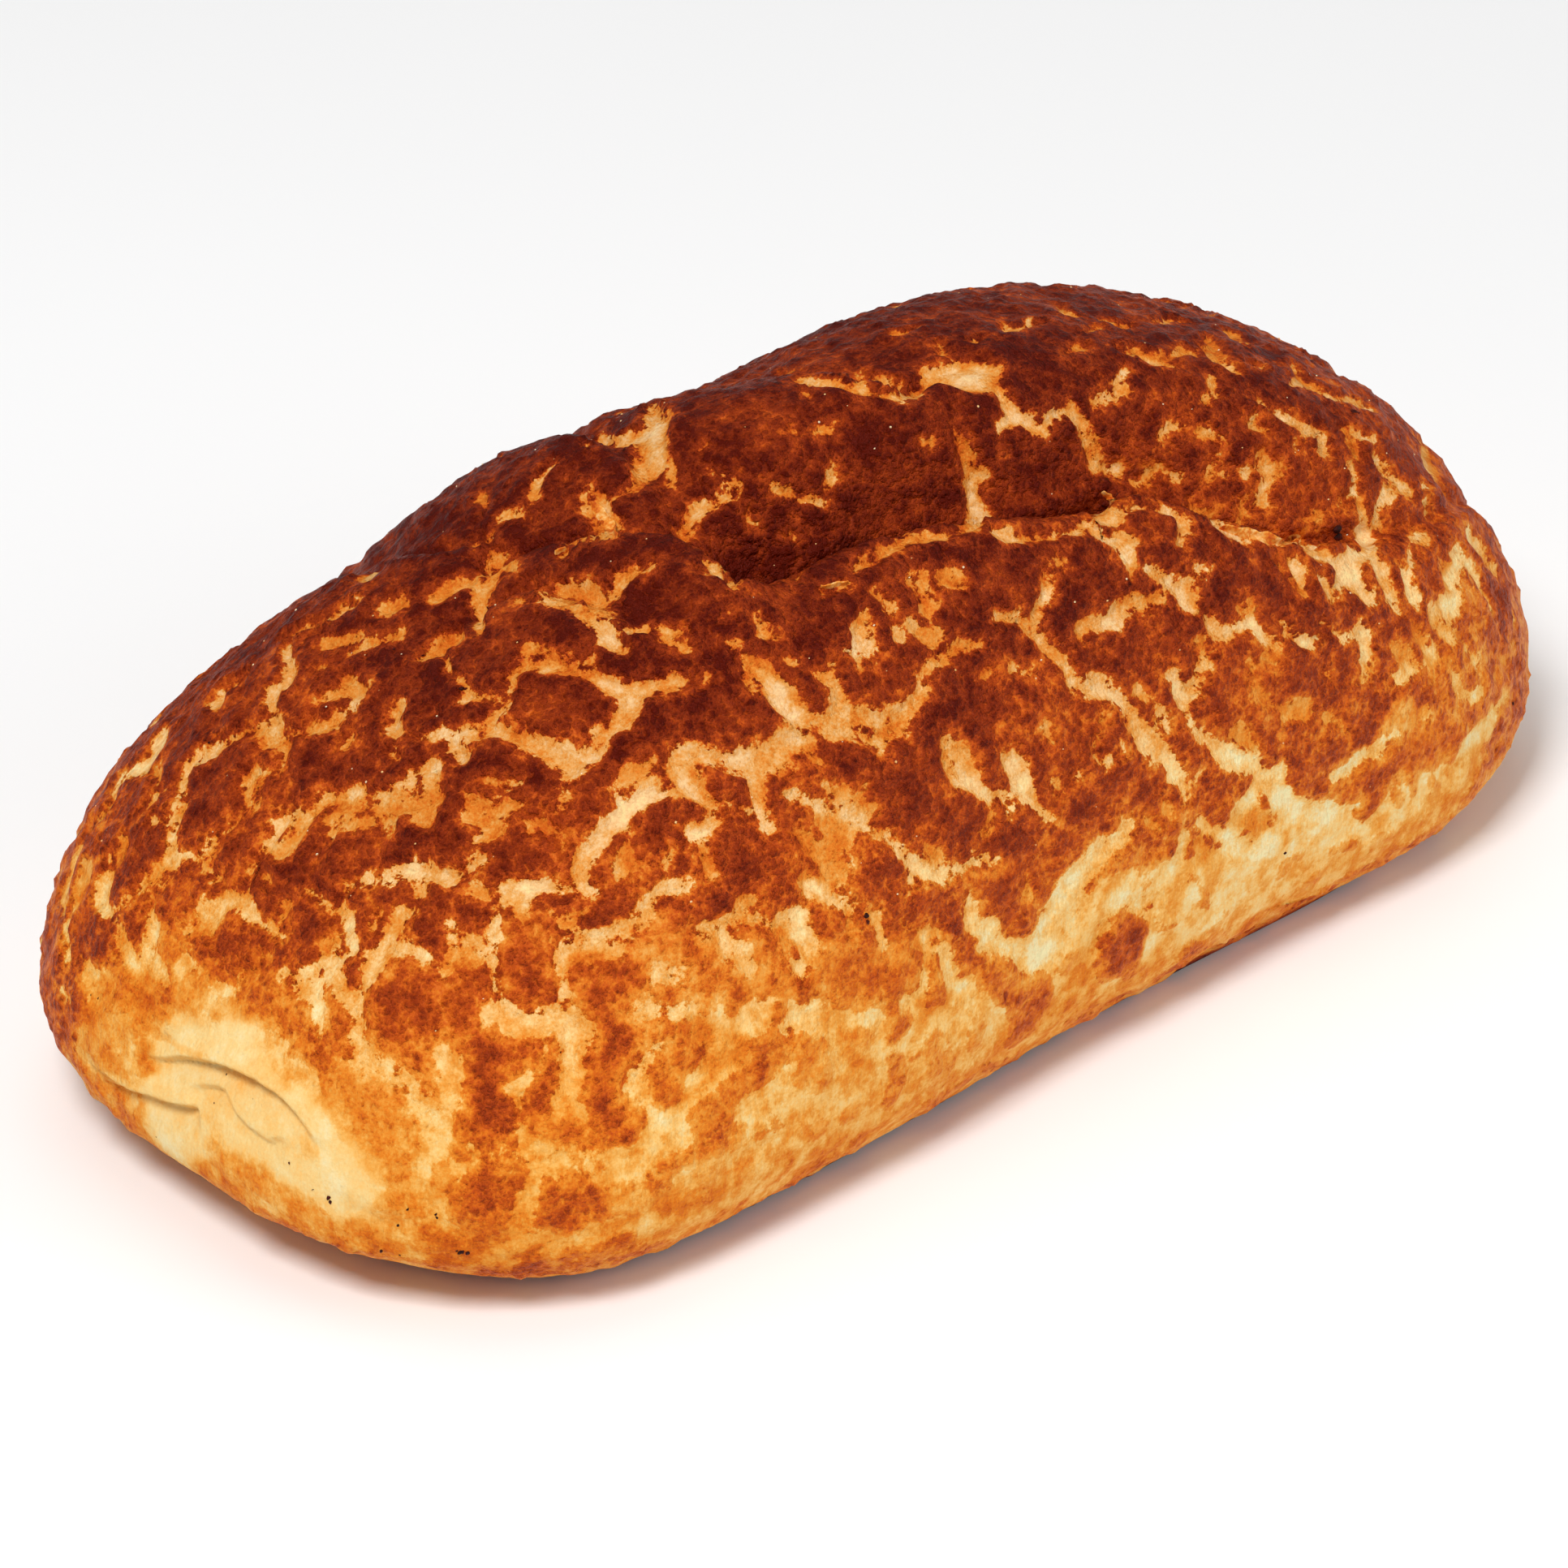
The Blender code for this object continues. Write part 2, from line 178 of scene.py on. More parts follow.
BROWN_PLATES = (
    (490, 1255, 72, 492, 1280, 82, 512, 1304, 56, 520, 1330, 34, 526, 1345, 22),
    (397, 1222, 18, 402, 1245, 32, 405, 1262, 34, 398, 1280, 34, 386, 1298, 30, 366, 1290, 30),
    (315, 1204, 22, 324, 1222, 40, 338, 1236, 36, 355, 1245, 30, 368, 1255, 24),
    (205, 1158, 22, 212, 1175, 24, 206, 1190, 14),
    (148, 1196, 18, 160, 1206, 28, 156, 1222, 20),
    (575, 1210, 40, 574, 1240, 50, 566, 1270, 36, 560, 1285, 24),
    (610, 1270, 22, 604, 1300, 44, 592, 1318, 34, 600, 1340, 40, 604, 1375, 66, 622, 1402, 26),
    (645, 1288, 20, 640, 1310, 32, 628, 1326, 26),
    (682, 1268, 18, 680, 1300, 24, 674, 1330, 30, 660, 1348, 40),
    (704, 1205, 20, 735, 1228, 34, 752, 1210, 34, 785, 1205, 40, 792, 1220, 30, 800, 1200, 24),
    (770, 1243, 22, 786, 1250, 26, 796, 1262, 22, 790, 1285, 30, 772, 1292, 40, 752, 1300, 60),
    (752, 1275, 36, 745, 1312, 50, 760, 1322, 44),
    (842, 1282, 24, 826, 1302, 44, 816, 1330, 40, 826, 1345, 34, 812, 1360, 20),
    (730, 1345, 34, 750, 1362, 60, 760, 1388, 60, 785, 1396, 26, 740, 1408, 30),
    (862, 1368, 26, 866, 1390, 34, 870, 1410, 22),
    (912, 1328, 24, 898, 1345, 34, 880, 1352, 18),
    (828, 1434, 26, 820, 1450, 16),
    (672, 1462, 30, 690, 1480, 44, 712, 1500, 44, 700, 1515, 26, 735, 1490, 26),
    (714, 1408, 16, 708, 1422, 12),
    (600, 1440, 36, 596, 1470, 70, 598, 1492, 70, 600, 1512, 36, 570, 1490, 40),
    (862, 1186, 40, 870, 1210, 48, 868, 1232, 44, 845, 1228, 24),
    (800, 1166, 24, 822, 1158, 44, 842, 1172, 24),
    (925, 1165, 36, 945, 1170, 40, 930, 1196, 34, 912, 1212, 30, 905, 1235, 26),
    (970, 1212, 16, 965, 1235, 16, 958, 1258, 14, 952, 1280, 16, 932, 1288, 18),
    (1012, 1182, 30, 1036, 1192, 50, 1046, 1216, 46, 1062, 1236, 26, 1010, 1230, 24),
    (1078, 1190, 44, 1104, 1196, 50, 1128, 1196, 30, 1098, 1170, 30, 1090, 1220, 30),
    (1118, 1250, 24, 1112, 1264, 28, 1100, 1278, 18),
    (1104, 1306, 24, 1110, 1330, 20, 1100, 1352, 18),
    (1225, 1188, 24, 1235, 1200, 20, 1226, 1215, 20),
    (1262, 1212, 36, 1268, 1240, 50, 1285, 1225, 36, 1262, 1262, 36),
    (1396, 1136, 26, 1376, 1155, 50, 1378, 1182, 56, 1400, 1158, 30, 1396, 1196, 24),
    (1412, 1098, 26, 1420, 1112, 14),
    (1470, 1085, 12, 1482, 1108, 12, 1486, 1122, 8),
    (990, 1280, 20, 985, 1300, 20, 960, 1310, 20),
    (1162, 1175, 20, 1155, 1200, 24, 1155, 1230, 20),
    (1700, 955, 60, 1655, 970, 40, 1730, 945, 40, 1770, 925, 50),
    (700, 1552, 24, 740, 1545, 20, 775, 1530, 14),
    (600, 1436, 30, 620, 1428, 30, 634, 1432, 20),
    (706, 1425, 16, 716, 1434, 14),
    (735, 1432, 14, 742, 1440, 12),
    (812, 1452, 24, 822, 1462, 14),
    (724, 1460, 16, 742, 1470, 18),
    (868, 1480, 14, 876, 1484, 8),
    (1429, 1135, 8, 1434, 1148, 8, 1447, 1138, 6),
    (1652, 1046, 12, 1668, 1044, 12),
    (1740, 952, 24, 1742, 975, 14),
    (1467, 1084, 12, 1474, 1090, 8),
    (560, 1500, 20, 590, 1512, 24, 600, 1530, 14),
    (395, 1308, 10, 404, 1304, 8),
)
ORANGE_PLATES = (
    (165, 1250, 40, 140, 1268, 60, 125, 1284, 40, 145, 1300, 40, 160, 1305, 30),
    (215, 1205, 20, 232, 1216, 28, 246, 1214, 20),
    (430, 1342, 56, 442, 1352, 66, 420, 1362, 46, 425, 1384, 34),
    (496, 1378, 30, 502, 1396, 30, 488, 1400, 24),
    (450, 1424, 26, 468, 1444, 40, 488, 1460, 24, 462, 1412, 20),
    (378, 1400, 18, 382, 1418, 24, 392, 1432, 14),
    (258, 1408, 20, 268, 1424, 22, 285, 1445, 30, 300, 1460, 24, 318, 1452, 16),
    (545, 1358, 14, 556, 1362, 12),
    (566, 1405, 20, 572, 1425, 26),
    (655, 1380, 30, 680, 1392, 40, 700, 1398, 26),
    (866, 1434, 30, 882, 1436, 26, 872, 1446, 26),
    (912, 1392, 26, 918, 1400, 20),
    (775, 1470, 30, 790, 1480, 24, 800, 1455, 24),
    (710, 1436, 18, 704, 1446, 14),
    (1060, 1280, 30, 1046, 1284, 20),
    (1002, 1300, 40, 1008, 1330, 30, 980, 1330, 20),
    (1052, 1368, 20, 1040, 1380, 12),
    (1010, 1390, 24, 990, 1400, 20),
    (1205, 1262, 22, 1204, 1282, 18),
    (1150, 1285, 30, 1160, 1310, 36, 1158, 1335, 24),
    (1320, 1182, 14, 1312, 1192, 12),
    (1500, 1140, 12, 1508, 1130, 10, 1518, 1122, 6),
    (640, 1440, 26, 650, 1450, 14),
    (1764, 958, 16, 1766, 972, 10),
    (1720, 975, 20, 1724, 992, 14),
    (1700, 1040, 20, 1715, 1032, 12),
    (1655, 1045, 14, 1640, 1052, 12),
    (1880, 930, 30, 1850, 950, 20, 1828, 965, 10),
    (160, 1200, 30, 178, 1235, 60, 196, 1255, 30),
    (222, 1238, 24, 262, 1244, 26, 300, 1252, 22, 335, 1266, 16),
    (455, 1372, 36, 470, 1395, 30, 478, 1420, 20),
    (440, 1335, 40, 462, 1350, 36, 450, 1368, 30),
    (500, 1372, 30, 508, 1395, 24),
    (545, 1448, 30, 556, 1466, 20),
    (440, 1415, 16, 455, 1430, 20),
    (300, 1450, 30, 325, 1470, 24, 345, 1485, 12),
    (1517, 1150, 8, 1500, 1148, 10, 1494, 1156, 8),
    (1580, 1075, 14, 1592, 1060, 12, 1606, 1052, 8),
    (1612, 1092, 10, 1622, 1080, 8),
    (1218, 1190, 16, 1240, 1196, 20),
    (470, 1485, 14, 480, 1500, 10),
    (1408, 1190, 16, 1404, 1210, 20, 1415, 1222, 12),
)

# %% Strokes: cracks at the near end
NEAR_CRACKS = (
    (195, 905, 8, 185, 925, 16, 172, 945, 14, 155, 953, 6),
    (141, 963, 6, 137, 985, 8, 130, 998, 8, 112, 1015, 6, 100, 1035, 6, 95, 1055, 8),
    (345, 895, 8, 315, 898, 8, 285, 905, 8, 258, 918, 8, 240, 930, 6, 226, 950, 5, 222, 965, 5, 225, 985, 6,
     220, 1005, 8, 212, 1025, 10, 208, 1045, 10, 213, 1055, 12),
    (175, 1085, 10, 200, 1065, 12, 215, 1058, 12, 240, 1055, 12, 255, 1070, 12, 268, 1090, 12, 280, 1105, 14),
    (240, 1055, 5, 258, 1035, 6, 275, 1020, 8, 295, 1005, 8, 303, 985, 10, 300, 965, 14, 305, 950, 16),
    (130, 1060, 8, 128, 1080, 14, 120, 1095, 14, 125, 1120, 16, 140, 1138, 14, 150, 1150, 12, 148, 1170, 14,
     160, 1184, 14, 180, 1188, 12),
    (188, 1100, 8, 180, 1115, 14, 188, 1140, 16, 185, 1165, 14, 180, 1185, 16, 200, 1198, 12, 208, 1218, 10),
    (175, 1085, 10, 165, 1100, 8, 158, 1110, 6),
    (282, 1105, 20, 262, 1120, 28, 240, 1130, 20, 230, 1145, 10),
    (285, 1105, 14, 300, 1110, 14, 312, 1130, 14, 330, 1143, 16, 345, 1150, 14),
    (530, 942, 16, 510, 950, 14, 505, 975, 12, 470, 977, 12, 440, 975, 18, 400, 985, 18, 385, 998, 16,
     345, 1003, 16, 335, 1030, 12, 318, 1055, 10, 303, 1075, 8, 300, 1105, 10),
    (420, 1130, 14, 415, 1115, 10, 420, 1100, 10, 440, 1085, 12, 470, 1080, 14, 495, 1070, 18, 520, 1065, 20),
    (425, 1130, 12, 428, 1150, 12, 432, 1165, 14, 415, 1180, 20, 390, 1195, 16, 360, 1205, 16, 345, 1205, 10),
    (497, 1125, 14, 480, 1140, 16, 470, 1165, 22, 460, 1185, 20, 450, 1200, 14, 440, 1215, 14),
    (350, 1200, 10, 365, 1215, 14, 380, 1220, 18, 415, 1205, 20, 435, 1240, 20, 440, 1270, 22, 445, 1300, 26,
     475, 1322, 24, 505, 1345, 24, 525, 1370, 30),
    (388, 1240, 8, 390, 1262, 10, 392, 1285, 8),
    (338, 848, 12, 335, 865, 12, 334, 885, 10, 345, 898, 10, 370, 900, 8, 400, 895, 8, 415, 882, 14,
     430, 870, 8),
    (335, 910, 18, 350, 910, 16, 347, 925, 10, 345, 940, 8, 335, 948, 6, 310, 950, 8),
    (358, 790, 6, 352, 808, 8, 358, 825, 10, 350, 842, 10),
    (480, 890, 14, 486, 876, 14, 493, 866, 6),
    (483, 920, 8, 490, 930, 6),
    (80, 1175, 10, 95, 1178, 10, 105, 1192, 8, 114, 1200, 12),
    (95, 1285, 10, 105, 1270, 10, 115, 1255, 8, 128, 1246, 6),
    (92, 1292, 8, 108, 1306, 10, 125, 1318, 10, 150, 1335, 8),
    (455, 700, 18, 442, 705, 10, 456, 712, 6),
    (438, 742, 8, 425, 745, 12, 410, 756, 8),
    (265, 862, 12, 272, 850, 10, 286, 840, 9, 298, 832, 8),
    (245, 935, 8, 258, 925, 8, 278, 914, 8, 292, 906, 6),
    (410, 1010, 5, 408, 1025, 5),
    (385, 1100, 5, 395, 1110, 6, 410, 1118, 8),
    (556, 1140, 5, 560, 1160, 6),
    (85, 1165, 6, 80, 1150, 5, 84, 1130, 4),
    (70, 1205, 3, 76, 1225, 5, 84, 1237, 8),
    (188, 1010, 8, 210, 1006, 7),
    (193, 978, 4, 182, 990, 5, 170, 1000, 5),
    (92, 1058, 8, 82, 1080, 10, 74, 1098, 12, 76, 1120, 8),
    (185, 1088, 8, 205, 1080, 14),
)

# %% Strokes: cracks on the near shoulder
SHOULDER_CRACKS = (
    (803, 498, 14, 808, 518, 34, 800, 545, 36, 798, 570, 36, 790, 592, 22),
    (722, 547, 5, 750, 541, 9, 775, 537, 16, 798, 530, 20),
    (785, 596, 10, 765, 603, 6, 754, 612, 3),
    (728, 596, 8, 738, 612, 16, 748, 632, 14, 760, 650, 12),
    (617, 635, 6, 640, 632, 9, 658, 640, 8),
    (612, 690, 12, 602, 704, 20, 594, 722, 24, 588, 745, 16, 590, 765, 12, 592, 776, 8),
    (640, 738, 5, 665, 735, 9, 690, 733, 16, 712, 742, 16, 728, 757, 16, 742, 775, 16, 757, 790, 18,
     770, 798, 14),
    (756, 728, 12, 764, 712, 16, 778, 702, 12, 798, 692, 10),
    (775, 777, 5, 800, 776, 4, 830, 777, 5, 845, 775, 3),
    (545, 806, 6, 553, 822, 6, 564, 834, 6, 576, 846, 5),
    (578, 855, 9, 570, 860, 7),
    (584, 857, 4, 600, 861, 5, 615, 863, 5),
    (585, 898, 8, 600, 890, 12, 612, 874, 10, 620, 862, 8, 628, 845, 10, 622, 832, 10, 650, 818, 16,
     690, 816, 16, 725, 824, 16, 745, 838, 16, 775, 848, 26, 800, 843, 24, 830, 838, 22, 862, 838, 10,
     878, 832, 5),
    (778, 858, 30, 770, 875, 30, 758, 890, 26, 738, 905, 20),
    (872, 692, 6, 885, 701, 9, 898, 712, 8, 912, 726, 4),
    (843, 660, 12, 845, 643, 14, 858, 627, 12, 880, 619, 8, 902, 611, 7, 905, 600, 5, 898, 588, 4,
     870, 577, 4),
    (948, 600, 5, 966, 606, 8, 992, 613, 10, 1016, 619, 8),
    (1020, 608, 9, 1024, 592, 9, 1032, 578, 8),
    (908, 798, 12, 922, 815, 14, 938, 833, 18, 952, 850, 22, 968, 870, 24),
    (936, 765, 10, 944, 778, 16, 956, 782, 10),
    (885, 765, 5, 897, 757, 6),
    (1012, 727, 4, 1030, 723, 4, 1046, 718, 3),
    (660, 590, 4, 668, 578, 6, 680, 570, 4),
    (690, 683, 5, 700, 678, 4),
    (585, 660, 4, 586, 672, 6),
    (862, 700, 5, 876, 706, 4),
    (1146, 748, 16, 1148, 757, 12),
    (1082, 730, 14, 1100, 745, 12),
    (1098, 748, 10, 1105, 765, 12),
    (918, 825, 12, 928, 845, 14),
)

# %% Strokes: cracks on the ridge and the far end
RIDGE_CRACKS = (
    (985, 464, 6, 1010, 469, 9, 1040, 474, 11, 1075, 482, 10, 1105, 486, 12, 1130, 478, 16, 1150, 462, 30,
     1178, 462, 40, 1203, 462, 34, 1222, 460, 18, 1226, 448, 10),
    (1228, 474, 12, 1240, 490, 12, 1252, 510, 22, 1270, 518, 20, 1286, 528, 10, 1298, 512, 14, 1318, 505, 18,
     1334, 518, 18, 1341, 540, 16, 1345, 562, 10),
    (1240, 520, 8, 1252, 518, 14),
    (1348, 502, 8, 1360, 490, 16, 1374, 481, 10, 1380, 466, 6, 1388, 456, 4),
    (1178, 530, 10, 1187, 545, 14, 1197, 566, 20, 1206, 586, 22, 1203, 606, 18, 1202, 628, 20, 1208, 642, 8),
    (1370, 572, 14, 1376, 578, 8),
    (1428, 543, 4, 1434, 533, 8, 1446, 525, 10, 1460, 517, 6),
    (1490, 533, 8, 1500, 540, 8),
    (1545, 510, 8, 1544, 522, 10, 1560, 528, 9),
    (1555, 495, 5, 1570, 506, 9, 1590, 516, 8, 1605, 523, 8, 1614, 532, 5),
    (1624, 528, 8, 1632, 542, 12),
    (1652, 524, 5, 1662, 533, 8, 1680, 534, 7, 1690, 540, 5),
    (1562, 572, 24, 1566, 588, 16, 1560, 604, 12, 1560, 618, 10, 1546, 626, 10),
    (1508, 584, 5, 1524, 583, 7, 1540, 585, 6),
    (1591, 475, 5, 1604, 464, 5, 1612, 472, 4, 1640, 487, 4, 1665, 495, 4, 1690, 503, 3),
    (1487, 425, 10, 1497, 438, 10, 1510, 445, 9),
    (1410, 435, 7, 1425, 442, 9, 1442, 447, 8),
    (1365, 394, 5, 1378, 398, 8, 1396, 398, 4),
    (1425, 396, 4, 1440, 393, 6, 1456, 395, 5),
    (1340, 408, 4, 1350, 402, 5),
    (1378, 428, 4, 1392, 435, 6),
    (1240, 398, 8, 1234, 404, 8, 1248, 403, 4, 1268, 397, 3, 1286, 396, 3),
    (1210, 416, 6, 1200, 419, 3),
    (1488, 492, 7, 1492, 501, 6),
    (1500, 472, 8, 1506, 484, 6),
    (1196, 441, 6, 1210, 440, 7),
    (1705, 572, 9, 1714, 585, 9, 1722, 592, 4),
    (1708, 608, 10, 1704, 626, 12, 1700, 640, 9),
    (1757, 602, 6, 1760, 620, 9, 1763, 638, 7),
    (1758, 563, 7, 1766, 580, 8, 1772, 594, 4, 1782, 611, 3),
    (1734, 600, 6, 1737, 605, 4),
    (1746, 655, 9, 1744, 674, 10, 1740, 690, 7),
    (1665, 572, 4, 1668, 586, 5, 1671, 600, 5, 1660, 612, 8, 1655, 622, 6),
    (1681, 655, 16, 1690, 672, 26, 1668, 690, 30, 1650, 696, 18),
    (1665, 705, 34, 1680, 722, 24, 1690, 738, 14),
    (1660, 716, 24, 1648, 730, 14),
    (1630, 712, 10, 1640, 726, 12, 1644, 737, 8),
    (1703, 698, 20, 1712, 718, 18, 1720, 738, 14, 1728, 755, 8),
    (1734, 706, 12, 1741, 728, 13, 1748, 748, 6),
    (1600, 690, 8, 1606, 706, 11, 1613, 720, 7),
    (1770, 770, 12, 1768, 752, 16, 1785, 744, 22, 1800, 738, 12, 1788, 764, 16),
    (1792, 712, 14, 1797, 692, 18, 1797, 674, 8),
    (1813, 662, 12, 1830, 680, 14, 1841, 696, 10, 1850, 707, 4),
    (1812, 700, 10, 1824, 718, 9, 1834, 736, 6, 1838, 750, 4),
    (1680, 780, 20, 1686, 800, 16, 1681, 820, 10),
    (1720, 836, 14, 1733, 831, 12, 1744, 820, 6),
    (1758, 800, 9, 1774, 796, 8, 1764, 782, 5),
    (1793, 835, 7, 1799, 850, 12, 1814, 860, 13, 1824, 849, 8),
    (1804, 795, 4, 1818, 812, 5, 1824, 832, 4),
    (1866, 772, 5, 1862, 788, 4),
    (1852, 858, 8, 1842, 872, 5, 1832, 890, 8, 1822, 902, 12, 1806, 918, 16),
    (1343, 560, 10, 1346, 575, 5),
    (1350, 652, 8, 1368, 662, 10, 1385, 675, 14, 1390, 688, 6),
    (1538, 655, 8, 1560, 663, 8, 1582, 668, 6, 1600, 662, 3),
    (1628, 686, 4, 1645, 691, 7),
    (1752, 545, 5, 1760, 565, 6),
    (1770, 760, 16, 1780, 775, 18, 1790, 790, 12),
)

# %% Strokes: cracks along the front fold and below it
FRONT_CRACKS = (
    (1052, 697, 8, 1066, 691, 12, 1085, 684, 14, 1100, 671, 18, 1115, 660, 18, 1140, 655, 15, 1165, 655, 12,
     1185, 650, 10, 1204, 643, 8),
    (1228, 653, 7, 1247, 660, 12, 1272, 660, 11, 1300, 659, 7, 1322, 654, 7, 1344, 645, 8),
    (1358, 618, 12, 1358, 632, 18, 1372, 640, 14, 1384, 627, 9, 1402, 622, 6, 1422, 624, 6, 1444, 630, 8,
     1458, 636, 12, 1464, 648, 14, 1457, 664, 12),
    (1500, 647, 5, 1518, 655, 10, 1534, 664, 10),
    (1094, 735, 16, 1092, 745, 13),
    (1064, 758, 12, 1062, 775, 20, 1068, 790, 24, 1078, 796, 14),
    (1046, 801, 7, 1055, 800, 8),
    (1101, 766, 8, 1108, 780, 14, 1116, 788, 8),
    (1136, 702, 8, 1134, 714, 16, 1142, 730, 16, 1148, 746, 16),
    (1122, 712, 8, 1130, 712, 12),
    (1208, 790, 6, 1190, 794, 12, 1172, 801, 12, 1160, 812, 9, 1150, 820, 7, 1140, 834, 10, 1133, 852, 14,
     1124, 868, 20, 1108, 884, 28),
    (1022, 838, 8, 1030, 848, 8),
    (965, 870, 16, 985, 883, 26, 1015, 886, 20, 1040, 880, 24, 1065, 884, 26, 1090, 892, 26),
    (840, 925, 28, 880, 930, 18, 910, 935, 24, 940, 925, 28, 970, 915, 28, 1003, 912, 22),
    (930, 965, 12, 935, 985, 12, 940, 1005, 12, 950, 1020, 10),
    (965, 975, 10, 985, 985, 12, 1010, 990, 14, 1035, 998, 14, 1055, 1005, 16, 1075, 1020, 16, 1095, 1030, 14,
     1105, 1045, 14, 1120, 1060, 18, 1140, 1070, 18, 1165, 1075, 16, 1190, 1070, 16, 1210, 1060, 16,
     1230, 1058, 8),
    (1125, 1075, 12, 1125, 1090, 8),
    (1000, 1095, 16, 1025, 1102, 14, 1045, 1110, 12, 1060, 1118, 8),
    (1080, 1125, 10, 1088, 1145, 10, 1088, 1160, 14),
    (850, 1155, 14, 870, 1145, 18, 900, 1135, 20, 930, 1135, 18, 950, 1138, 14, 965, 1130, 18, 985, 1120, 16,
     1000, 1108, 14),
    (985, 1140, 26, 1000, 1160, 22),
    (900, 1170, 20, 920, 1172, 12),
    (985, 1190, 18, 990, 1205, 14),
    (1010, 1230, 8, 990, 1245, 10, 975, 1260, 18, 970, 1275, 12),
    (1020, 1290, 14, 1040, 1310, 12),
    (1115, 1235, 8, 1130, 1225, 12, 1140, 1215, 10, 1142, 1200, 8, 1140, 1180, 6, 1145, 1165, 8),
    (1165, 1175, 18, 1170, 1190, 20, 1175, 1205, 22, 1190, 1215, 14),
    (1195, 1110, 10, 1200, 1140, 24, 1225, 1140, 18, 1215, 1165, 14, 1250, 1170, 28, 1265, 1185, 26,
     1280, 1175, 34, 1300, 1150, 38, 1315, 1115, 38, 1330, 1090, 34, 1345, 1070, 30, 1360, 1050, 24,
     1380, 1035, 16, 1395, 1020, 12),
    (1168, 910, 10, 1172, 945, 14, 1190, 962, 16, 1215, 977, 14, 1235, 985, 10, 1245, 1000, 6),
    (1250, 935, 32, 1262, 970, 26, 1275, 985, 18, 1300, 1008, 6),
    (1295, 965, 12, 1310, 970, 10, 1330, 953, 8),
    (1232, 757, 10, 1255, 762, 14, 1275, 778, 16, 1296, 800, 18, 1315, 820, 16, 1325, 840, 20, 1345, 850, 20,
     1370, 855, 18, 1390, 868, 18, 1400, 885, 24, 1410, 905, 30, 1430, 925, 26, 1445, 945, 20, 1458, 965, 16,
     1465, 985, 10),
    (1292, 702, 10, 1296, 720, 12, 1290, 738, 13, 1274, 754, 12),
    (1352, 905, 8, 1352, 925, 10, 1362, 938, 10, 1380, 930, 8, 1395, 915, 8),
    (1430, 875, 8, 1442, 895, 16),
    (1335, 778, 14, 1350, 770, 18, 1370, 765, 20, 1382, 748, 24, 1400, 740, 26, 1416, 745, 18, 1426, 735, 12),
    (1416, 703, 8, 1436, 712, 14, 1452, 722, 16, 1460, 738, 14, 1470, 750, 8),
    (1455, 718, 12, 1470, 712, 10, 1480, 704, 8),
    (1490, 762, 10, 1498, 778, 18, 1515, 780, 18, 1530, 768, 14, 1545, 768, 10, 1556, 782, 16, 1570, 792, 16,
     1580, 782, 8, 1584, 768, 8),
    (1586, 778, 10, 1602, 790, 15, 1614, 793, 12, 1626, 780, 10, 1632, 768, 8),
    (1640, 776, 6, 1655, 785, 8, 1668, 782, 8),
    (1500, 795, 12, 1488, 812, 16, 1478, 832, 18, 1468, 852, 20, 1458, 866, 12),
    (1452, 852, 10, 1455, 838, 8, 1442, 835, 8, 1450, 825, 6),
    (1475, 900, 10, 1485, 915, 16, 1505, 925, 24, 1525, 935, 28, 1550, 945, 26, 1570, 960, 28, 1575, 980, 28,
     1600, 1000, 30, 1640, 1004, 26),
    (1475, 1010, 12, 1490, 1022, 14, 1510, 1035, 20, 1530, 1045, 26, 1570, 1045, 26),
    (1645, 958, 10, 1665, 945, 14, 1680, 930, 14, 1700, 925, 16, 1712, 914, 12, 1722, 905, 10),
    (1370, 1110, 26, 1390, 1115, 24, 1410, 1120, 18, 1425, 1105, 18, 1440, 1080, 18, 1450, 1060, 14,
     1458, 1040, 12, 1460, 1025, 8),
    (1360, 1145, 18, 1350, 1165, 16),
    (1480, 960, 12, 1465, 970, 10),
    (1150, 752, 5, 1152, 758, 4),
    (1020, 900, 16, 1060, 905, 16, 1090, 912, 16, 1105, 900, 24, 1112, 880, 20),
    (910, 940, 24, 940, 945, 20, 965, 935, 16),
    (930, 955, 14, 936, 962, 10),
    (905, 992, 8, 925, 998, 12),
    (1350, 832, 14, 1362, 838, 16),
    (1462, 868, 12, 1463, 880, 8),
    (1560, 960, 26, 1545, 980, 20, 1530, 995, 14, 1520, 1003, 8),
    (1177, 1190, 16, 1182, 1202, 12),
)

